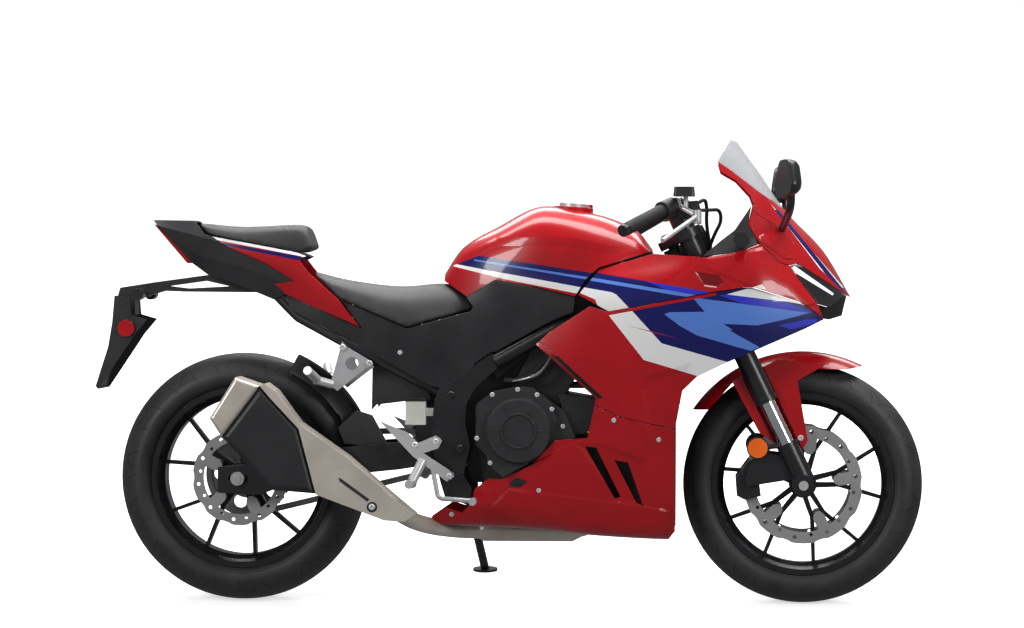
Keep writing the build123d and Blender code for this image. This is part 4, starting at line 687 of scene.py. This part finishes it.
def surface(stations, step=14, rounds=3):
    """Rows of points of a smooth surface through the cross-sections."""
    xs = [station[0] for station in stations]
    cuts = [section(station[1:], rounds) for station in stations]
    if xs[0] > xs[-1]:
        xs, cuts = xs[::-1], cuts[::-1]
    tracks = []
    for track in zip(*cuts):
        tracks.append(([p.x for p in track], [p.y for p in track]))
    bends = [(slopes(xs, ys), slopes(xs, zs)) for ys, zs in tracks]
    grid = []
    for i in range(len(xs) - 1):
        span = xs[i + 1] - xs[i]
        parts = max(2, round(span / step))
        for j in range(parts + (i == len(xs) - 2)):
            t = j / parts
            h0, h1 = 2 * t ** 3 - 3 * t ** 2 + 1, -2 * t ** 3 + 3 * t ** 2
            g0, g1 = t ** 3 - 2 * t ** 2 + t, t ** 3 - t ** 2
            line = []
            for (ys, zs), (my, mz) in zip(tracks, bends):
                y = h0 * ys[i] + h1 * ys[i + 1] + span * (g0 * my[i] + g1 * my[i + 1])
                z = h0 * zs[i] + h1 * zs[i + 1] + span * (g0 * mz[i] + g1 * mz[i + 1])
                line.append(Vector((xs[i] + span * t, y, z)))
            grid.append(line)
    return grid


def solid_of(stations, **how):
    """Closed body through the cross-sections."""
    grid = surface(stations, **how)
    work = bmesh.new()
    rows = [[work.verts.new(p) for p in line] for line in grid]
    strips(work, rows)
    work.faces.new(rows[0])
    work.faces.new(rows[-1])
    return from_bmesh("body", work)


def shell_of(stations, wall):
    """Wall that follows the cross-sections on their inner side."""
    grid = surface(stations)
    work = bmesh.new()
    outer = [[work.verts.new(p) for p in line] for line in grid]
    inner = []
    for r, line in enumerate(grid):
        new = []
        for c, p in enumerate(line):
            along = grid[min(r + 1, len(grid) - 1)][c] - grid[max(r - 1, 0)][c]
            across = line[min(c + 1, len(line) - 1)] - line[max(c - 1, 0)]
            new.append(work.verts.new(p - along.cross(across).normalized() * wall))
        inner.append(new)
    last = len(outer[0]) - 1
    for layer in (outer, inner):
        strips(work, layer, closed=False)
    for (a, b), (c, d) in zip(zip(outer, outer[1:]), zip(inner, inner[1:])):
        for i in (0, last):
            work.faces.new((a[i], b[i], d[i], c[i]))
    for a, c in ((outer[0], inner[0]), (outer[-1], inner[-1])):
        for i in range(last):
            work.faces.new((a[i], a[i + 1], c[i + 1], c[i]))
    return from_bmesh("shell", work)


def shrunk(outline, gap):
    """Outline moved inwards by a gap, with its corners kept sharp."""
    sign = way_round(outline)
    points = []
    for before, here, after in zip(outline[-1:] + outline[:-1], outline, outline[1:] + outline[:1]):
        first = Vector((here[0] - before[0], here[1] - before[1])).normalized()
        second = Vector((after[0] - here[0], after[1] - here[1])).normalized()
        inward = Vector((-first.y - second.y, first.x + second.x)).normalized() * sign
        reach = gap / max(0.3, inward.dot(Vector((-first.y, first.x)) * sign))
        points.append((here[0] + inward.x * reach, here[1] + inward.y * reach))
    return points


def mirrored(piece):
    """Adds the left-hand half."""
    work = bmesh.new()
    work.from_mesh(piece.data)
    copy = bmesh.ops.duplicate(work, geom=work.verts[:] + work.edges[:] + work.faces[:])
    fresh = [g for g in copy["geom"] if isinstance(g, bmesh.types.BMVert)]
    bmesh.ops.scale(work, vec=(1, -1, 1), verts=fresh)
    bmesh.ops.reverse_faces(work, faces=[g for g in copy["geom"] if isinstance(g, bmesh.types.BMFace)])
    work.to_mesh(piece.data)
    work.free()
    return piece


def placed(piece, name, material, body="root", stands_for=(), angle=32):
    """Leans a piece over with the bike, smooths it, gives it its finish and hangs it on a body."""
    piece.name = piece.data.name = name
    piece.data.transform(TO_ROW)
    piece.data.materials.clear()
    piece.data.materials.append(material)
    piece.data.shade_smooth()
    piece.data.set_sharp_from_angle(angle=math.radians(angle))
    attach(piece, body)
    if stands_for:
        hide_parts(*stands_for)
    return piece


def panel(name, stations, outline, material, wall=SKIN, half=True, holes=()):
    """Thin panel cut from the smooth surface by its side-view outline, whole or as a pair of halves."""
    piece = shell_of(stations, wall)
    combine(piece, prism(shrunk(outline, SEAM), 0 if half else WIDE, -WIDE), "INTERSECT")
    for hole in holes:
        combine(piece, prism(hole, 10, -WIDE), "DIFFERENCE")
    if half:
        mirrored(piece)
    return placed(piece, "smooth_" + name, material, stands_for=(name,))


panel("nose_cowl", UPPER, NOSE_EDGE, m_nose, half=False)
panel("windscreen", UPPER, SCREEN_EDGE, m_screen, wall=3.0, half=False)
panel("headlamps", UPPER, LAMP, m_lamp, wall=14)
panel("upper_side_panels", UPPER, PANEL_EDGE, m_panel)
panel("side_fairings", LOWER, SIDE_EDGE, m_side)
panel("lower_cowls", LOWER, COWL_EDGE, m_cowl, holes=SLOTS)
panel("tail_side_panels", TAIL, TAIL_RED, m_tail)
panel("side_covers", COVER, COVER_EDGE, m_cover)

# Tank with its filler seat, hinge lugs and feet
tank = solid_of(TANK, rounds=4)
combine(tank, prism(shrunk(TANK_EDGE, SEAM), WIDE, -WIDE), "INTERSECT")
CAP_TILT = math.radians(4)
SEAT_RING_R, CAP_ROOM_R, FILLER_R = 50, 52, 24
cap_up = Vector((math.sin(CAP_TILT), 0, math.cos(CAP_TILT)))
cap_on = Vector((math.cos(CAP_TILT), 0, -math.sin(CAP_TILT)))
cap_seat = Vector((128, 0, 993))
combine(tank, cylinder(cap_seat - cap_up * 12, cap_seat, SEAT_RING_R, 96), "UNION")
combine(tank, cylinder(cap_seat, cap_seat + cap_up * 30, CAP_ROOM_R, 96), "DIFFERENCE")
combine(tank, cylinder(cap_seat - cap_up * 60, cap_seat + cap_up * 5, FILLER_R, 64), "DIFFERENCE")
hinge_at = cap_seat + cap_on * 44 + cap_up * 4.9
for side in (1, -1):
    lug = [hinge_at + Vector((0, y * side, 0)) for y in (11.4, 16)]
    combine(tank, cylinder(*lug, 4.5, 24), "UNION")
    combine(tank, cylinder((250, 122 * side, 870), (250, 122 * side, 757), 9, 24), "UNION")
placed(tank, "smooth_tank", m_tank, stands_for=("fuel_tank",), angle=40)

SEAM_REACH, GROOVE_W, ROLL_AT, ROLL_W = 9, 2.6, 5.5, 2.4  # a seam's groove and the rolls of foam beside it


def seat(name, stations, outline, seams, dip):
    """Seat of foam under stretched vinyl: a crowned body with sewn seams pressed dip mm into it.

    Each seam gives a place's distance from its line.
    """
    piece = solid_of(stations, step=9, rounds=4)
    combine(piece, prism(shrunk(outline, 1.5), WIDE, -WIDE), "INTERSECT")
    remesh = piece.modifiers.new("even", "REMESH")
    remesh.mode, remesh.voxel_size = "VOXEL", 4.5
    soft = piece.modifiers.new("soft", "CORRECTIVE_SMOOTH")
    soft.iterations, soft.use_only_smooth = 6, True
    baked(piece)
    for v in piece.data.vertices:
        x, y = v.co.xy
        for line in seams:
            near = line(x, y)
            if abs(near) < SEAM_REACH:
                v.co.z -= dip * math.exp(-(near / GROOVE_W) ** 2)
                v.co.z += dip * 0.35 * math.exp(-((abs(near) - ROLL_AT) / ROLL_W) ** 2)
    placed(piece, "padded_" + name, m_seat, stands_for=(name + "_seat",), angle=60)


seat("rider", RIDER_SEAT, RIDER_EDGE,
     [lambda x, y: abs(y) - (58 + (x + 300) * -0.10), lambda x, y: x + 452 + abs(y) * 0.18], 2.2)
seat("passenger", PASSENGER_SEAT, PASSENGER_EDGE,
     [lambda x, y: abs(y) - (60 + (x + 700) * 0.10), lambda x, y: x + 585], 2.0)

# ---- Screws, bolts and small trim
BOTH = (-1, 1)
SIDES = ((-1, "right"), (1, "left"))


def skin_tree(stations):
    """Search tree of a smooth surface, to set screws on it."""
    grid = surface(stations, step=10)
    wide = len(grid[0])
    faces = [(r * wide + c, r * wide + c + 1, (r + 1) * wide + c + 1, (r + 1) * wide + c)
             for r in range(len(grid) - 1) for c in range(wide - 1)]
    return BVHTree.FromPolygons([p for line in grid for p in line], faces)


lower_tree, cover_tree = skin_tree(LOWER), skin_tree(COVER)


def on_skin(tree, x, z, side=-1):
    """Point of the surface and its outward direction, at a place of the side view."""
    at, normal, _, _ = tree.ray_cast(Vector((x, -2 * WIDE, z)), Vector((0, 1, 0)))
    if normal.y > 0:
        normal = -normal
    return Vector((at.x, -side * at.y, at.z)), Vector((normal.x, -side * normal.y, normal.z))


def on_node(name, x, z, side=-1):
    """Outermost point of a CAD node at a place of the side view, or nothing where the node isn't there."""
    start = row(x, 2 * WIDE * side, z)
    way = (TO_ROW.to_3x3() @ Vector((0, -side, 0))).normalized()
    hit, at, _, _ = NODES[name].ray_cast(start, way)
    return (TO_ROW.inverted() @ at, Vector((0, side, 0))) if hit else None


def screw_mesh(radius, height, socket=0.55, sides=24):
    """Domed screw head with a round socket."""
    work = bmesh.new()
    rings = ((1, -1.0), (1, height * 0.45), (0.82, height * 0.9), (socket, height),
             (socket * 0.96, height * 0.35))
    turns = [2 * math.pi * i / sides for i in range(sides)]
    loops = [[work.verts.new((radius * r * math.cos(t), radius * r * math.sin(t), z)) for t in turns]
             for r, z in rings]
    strips(work, loops)
    work.faces.new(loops[0][::-1])
    work.faces.new(loops[-1])
    return mesh_of("screw", work)


def many(name, template, spots, material, body="root"):
    """One piece made of copies of a mesh, each set at a point and turned to a direction."""
    work = bmesh.new()
    for at, way in spots:
        copy = template.copy()
        copy.transform(Matrix.Translation(at) @ facing(way))
        work.from_mesh(copy)
        bpy.data.meshes.remove(copy)
    return placed(from_bmesh(name, work), name, material, body, angle=25)


def bolts(name, node, places, head, material=m_screw, body="root"):
    """Screws on both sides of a CAD node, at places of the side view where the node is."""
    spots = [on_node(node, x, z, b) for x, z in places for b in BOTH]
    many(name, head, [spot for spot in spots if spot], material, body)


small, middle, large = screw_mesh(6.0, 3.4), screw_mesh(7.5, 4.0), screw_mesh(8.5, 4.2)
many("fairing_screws", small,
     [on_skin(lower_tree, x, z, b) for x, z in ((235, 463), (346, 415), (49, 288), (-170, 225)) for b in BOTH]
     + [on_skin(cover_tree, -300, 628, b) for b in BOTH], m_screw)
found = []
for x, z in ((-66, 525), (-3, 538), (45, 525), (82, 490), (108, 447), (-71, 356), (-100, 318), (-104, 417),
             (-109, 483), (-67, 554)):
    spots = [on_node(name, x, z) for name in ("engine", "engine_covers")]
    spots = [spot for spot in spots if spot]
    if spots:
        found.append(min(spots, key=lambda spot: spot[0].y))
many("engine_bolts", small, found, m_screw)
bolts("footrest_bolts", "rider_footrests", ((-205, 409), (-172, 323), (-257, 400), (-263, 355)), middle)
bolts("bracket_bolts", "passenger_footrests", ((-443, 640), (-376, 600)), large)
bolts("frame_bolts", "frame", ((-172, 522), (-147, 389)), screw_mesh(10, 4.0), m_satin)
bolts("mudguard_bolts", "front_mudguard", ((584, 433), (698, 417)), middle, body="steering")
shield_spot = on_node("muffler_shield", -355, 252)
if shield_spot:
    many("shield_washer", screw_mesh(13, 1.6, 0.7), [shield_spot], m_satin)
    many("shield_bolt", screw_mesh(8, 5.0), [shield_spot], m_screw)


def tube(name, points, radius, material, body="root", sides=20):
    """Pipe bent smoothly through its points, with closed ends."""
    line = bpy.data.curves.new(name, "CURVE")
    line.dimensions, line.bevel_depth, line.bevel_resolution = "3D", radius, max(2, sides // 4)
    line.use_fill_caps, line.resolution_u = True, 10
    spline = line.splines.new("NURBS")
    spline.points.add(len(points) - 1)
    for spot, at in zip(spline.points, points):
        spot.co = (*at, 1)
    spline.order_u, spline.use_endpoint_u = 3, True
    piece = mesh_object(name, line)
    mesh = evaluated(piece)
    bpy.data.objects.remove(piece)
    return placed(mesh_object(name, mesh), name, material, body)


# Exhaust: headers, collector under the engine and the pipe that leads to the muffler
PIPE_Z = 176
COLLECTOR_R, NECK_R, MID_PIPE_R, HEADER_R = 27, 16, 21, 17
collector = cylinder((-96, 0, PIPE_Z), (126, 0, PIPE_Z), COLLECTOR_R)
for x0, x1, radius0, radius1 in ((-118, -96, NECK_R, COLLECTOR_R), (126, 148, COLLECTOR_R, NECK_R)):
    combine(collector, cylinder((x0, 0, PIPE_Z), (x1, 0, PIPE_Z), radius0, radius2=radius1), "UNION")
placed(collector, "exhaust_collector", m_champagne, stands_for=("exhaust_pipe",))
tube("exhaust_mid_pipe", [(-110, 0, PIPE_Z), (-160, -30, 178), (-235, -130, 196), (-290, -200, 225),
                          (-330, -226, 262)], MID_PIPE_R, m_champagne)
for side, label in SIDES:
    tube("exhaust_header_" + label,
         [(150, 45 * side, 572), (214, 45 * side, 556), (232, 45 * side, 470), (230, 40 * side, 300),
          (214, 24 * side, 196), (140, 6 * side, PIPE_Z)], HEADER_R, m_champagne)

# Dark parts that close the middle of the bike, and the brake cylinder and lock at the bars: name, Y from and
# to, finish, body, side-view outline
for name, y0, y1, material, body, outline in (
    ("air_box", 96, -96, m_black, "root",
     ((-118, 716), (40, 700), (120, 700), (240, 722), (328, 745), (328, 880), (262, 866), (196, 846),
      (160, 812), (140, 780), (40, 798), (-58, 812), (-118, 768))),
    ("radiator_shroud", 146, -146, m_black, "root", ((96, 528), (188, 512), (196, 440), (124, 420))),
    ("throttle_bodies", 60, -60, m_case, "root",
     ((-60, 560), (40, 640), (125, 700), (60, 720), (-60, 700), (-110, 640))),
    ("oil_filter_block", 96, -96, m_black, "root",
     ((126, 420), (116, 262), (205, 262), (212, 330), (215, 420))),
    ("header_shroud", 60, -60, m_black, "root", ((215, 420), (206, 262), (300, 240), (322, 380), (300, 430))),
    ("shock_linkage", 42, -42, m_black, "root", ((-268, 392), (-206, 392), (-206, 560), (-268, 560))),
    ("engine_rear_case", 40, -40, m_black, "root",
     ((-150, 578), (-54, 628), (46, 646), (96, 600), (96, 500), (-60, 300), (-125, 300), (-150, 400))),
    ("master_cylinder", -165, -208, m_black, "steering",
     ((386, 1002), (441, 1006), (449, 985), (428, 958), (394, 964))),
    ("lock_block", 46, -46, m_black, "steering",
     ((408, 945), (452, 948), (478, 900), (474, 872), (432, 872))),
):
    placed(prism(outline, y0, y1), name, material, body)

# Hoses, each fixed at both ends to the body that it rides on
tube("brake_hose_upper",
     [(440, -188, 998), (458, -180, 1014), (464, -150, 990), (462, -110, 950), (470, -80, 905),
      (474, -72, 870)], 4.5, m_grip, "steering")
tube("brake_hose_lower",
     [(446, -190, 982), (474, -130, 984), (496, -80, 986), (500, -62, 955), (482, -60, 925),
      (470, -50, 890)], 4.5, m_grip, "steering")
tube("coolant_hose", [(96, -120, 628), (60, -128, 606), (30, -126, 572), (-14, -130, 556), (-40, -126, 560)],
     7, m_grip)
tube("lower_hose", [(-30, -122, 556), (10, -150, 560), (60, -150, 580), (92, -130, 640)], 5, m_steel)

# Mirrors: rounded five-sided heads on bent stalks
MIRROR_AT = (657, 322, 1057)
MIRROR_EDGE = ((-36, 46), (30, 48), (59, -12), (52, -36), (0, -48), (-52, -46), (-58, -12))
MIRROR_RINGS = ((9, 0.97), (7, 1.0), (-2, 1.0), (-14, 0.93), (-23, 0.74), (-28, 0.45))  # depth, size


def mirror_head(side):
    """Mirror of one side, its glass facing back."""
    origin = Vector((MIRROR_AT[0], MIRROR_AT[1] * side, MIRROR_AT[2]))
    across = Vector((0.33, 0.944 * side, 0)).normalized()
    up = Vector((0.03, 0, 1)).normalized()
    out = Vector((-0.944, 0.33 * side, 0)).normalized()
    work = bmesh.new()
    loops = []
    for depth, size in MIRROR_RINGS:
        loop = []
        for i, (w, h) in enumerate(MIRROR_EDGE):
            before, after = MIRROR_EDGE[i - 1], MIRROR_EDGE[(i + 1) % len(MIRROR_EDGE)]
            corner = Vector((w, h))
            a, b = corner.lerp(Vector(before), 0.24), corner.lerp(Vector(after), 0.24)
            for f in (0, 0.25, 0.5, 0.75, 1):
                q = a.lerp(corner, f).lerp(corner.lerp(b, f), f) * size
                loop.append(work.verts.new(origin + across * q.x + up * q.y + out * depth))
        loops.append(loop)
    strips(work, loops)
    work.faces.new(loops[0])
    work.faces.new(loops[-1])
    return from_bmesh("mirror_head", work)


for side, label in SIDES:
    placed(mirror_head(side), "mirror_head_" + label, m_satin, stands_for=("mirrors",), angle=45)
    tube("mirror_stalk_" + label,
         [(646, 84 * side, 930), (652, 120 * side, 944), (662, 220 * side, 968), (668, 290 * side, 990),
          (668, 312 * side, 1024), (668, 316 * side, 1052)], 10, m_satin)

# Instruments: a slim panel low behind the nose, on its stay
panel_up = Vector((-0.64, 0, 0.77))
instruments = bmesh.new()
bmesh.ops.create_cube(instruments, size=1)
bmesh.ops.transform(instruments, verts=instruments.verts, matrix=Matrix.Translation(Vector((612, 0, 950)))
                    @ facing(panel_up) @ Matrix.Diagonal((128, 72, 20, 1)))
bmesh.ops.bevel(instruments, geom=instruments.edges[:], offset=6, segments=3, affect="EDGES")
placed(from_bmesh("instruments", instruments), "instruments", m_smoke, stands_for=("instrument_panel",))
tube("instrument_stay", [(618, 0, 944), (660, 0, 936), (700, 0, 925)], 9, m_satin)

# Clutch cover: ribs between its rim and its boss
CLUTCH_AT, RIB_R, RIBS = Vector((0, -203.4, 436)), 61, 6
ribs = bmesh.new()
for turn in range(RIBS):
    angle = 2 * math.pi * turn / RIBS
    way = Vector((math.cos(angle), 0, math.sin(angle)))
    made = bmesh.ops.create_cube(ribs, size=1)["verts"]
    turned = Matrix.Rotation(-angle, 4, "Y")
    bmesh.ops.transform(ribs, matrix=Matrix.Translation(CLUTCH_AT + way * RIB_R) @ turned
                        @ Matrix.Diagonal((30, 2.4, 3.0, 1)), verts=made)
placed(from_bmesh("clutch_ribs", ribs), "clutch_ribs", m_case)

# Quarter-turn latches of the lower cowls, the dark slot in the muffler shield and the lid of the fluid box
latch = bmesh.new()
for outline, low, high in ((((-23, -3), (-5, 12), (23, 3), (6, -12), (-18, -11)), -2, 2.2),
                           (((-7, 0), (-3.5, 6), (3.5, 6), (7, 0), (3.5, -6), (-3.5, -6)), 2, 4.5)):
    base = [latch.verts.new((x, y, low)) for x, y in outline]
    top = [latch.verts.new((x, y, high)) for x, y in outline]
    latch.faces.new(top)
    latch.faces.new(base)
    strips(latch, [base, top])
many("cowl_latches", mesh_of("latch", latch), [on_skin(lower_tree, -2, 308, b) for b in BOTH], m_satin)
slot_at = on_node("muffler_shield", -400, 296)
if slot_at:
    y = slot_at[0].y
    slot = prism(((-438, 324), (-430, 321), (-361, 271), (-366, 265), (-434, 314)), y - 0.7, y + 3)
    placed(slot, "shield_slot", m_case)
lid = prism(((-286, 507.6), (-232, 507.6), (-232, 515), (-286, 515)), -122, -160)
placed(lid, "fluid_box_lid", m_satin)

# Orange side reflectors on the fork, each on a small bracket
REFLECTOR_R = 24.5
for side, label in SIDES:
    reflector = cylinder((591, 121 * side, 393), (591, 127 * side, 393), REFLECTOR_R, 64)
    placed(reflector, "fork_reflector_" + label, m_orange, "steering")
    holder = cylinder((591, 112 * side, 393), (591, 124 * side, 393), REFLECTOR_R + 3, 64)
    combine(holder, cylinder((591, 114 * side, 393), (652, 104 * side, 398), 6, 24), "UNION")
    placed(holder, "reflector_holder_" + label, m_satin, "steering")

# ---- Studio
world = bpy.data.worlds.new("studio")
scene.world = world
world.use_nodes = True
sky = world.node_tree.nodes["Background"].inputs
sky["Color"].default_value = (0.80, 0.82, 0.85, 1)
sky["Strength"].default_value = 0.27

floor_mesh = bpy.data.meshes.new("floor")
floor_mesh.from_pydata([(-60, -40, 0), (60, -40, 0), (60, 80, 0), (-60, 80, 0)], [], [(0, 1, 2, 3)])  # m
floor = mesh_object("floor", floor_mesh)
s = Shader("floor_white")
s.put("Base Color", (0.8, 0.8, 0.8, 1)).put("Roughness", 0.9)
# The floor glows, least under the bike, so its far part is as white as the photo's ground
spread = s.nodes.new("ShaderNodeVectorMath")
spread.operation = "LENGTH"
s.links.new(s.nodes["Texture Coordinate"].outputs["Object"], spread.inputs[0])
s.put("Emission Color", (1, 1, 1, 1))
s.put("Emission Strength", s.ramp(spread.outputs["Value"], 1.2, 3.4, 0.62, 1.0))
floor_mesh.materials.append(s.mat)
floor.visible_glossy = False
floor.visible_diffuse = False


def softbox(name, at, to, size, power):
    """Rectangular light of some watts, turned to a point."""
    lamp = bpy.data.lights.new(name, "AREA")
    lamp.shape = "RECTANGLE"
    lamp.size, lamp.size_y = size
    lamp.energy = power
    holder = bpy.data.objects.new(name, lamp)
    holder.location = at
    holder.rotation_euler = (Vector(to) - Vector(at)).to_track_quat("-Z", "Y").to_euler()
    scene.collection.objects.link(holder)


softbox("overhead", (0.1, 0.55, 3.4), (0, 0, 0.6), (4.6, 1.5), 190)
softbox("front_left", (-3.6, -3.6, 3.2), (-0.2, 0, 0.6), (1.6, 1.6), 115)
softbox("front_right", (3.9, -3.4, 3.0), (0.3, 0, 0.6), (1.6, 1.6), 105)
softbox("back", (0.3, 3.0, 2.6), (0, 0, 0.7), (4.0, 1.0), 70)

scene.view_settings.view_transform = "Standard"
scene.view_settings.look = "None"
scene.view_settings.exposure = 0.0
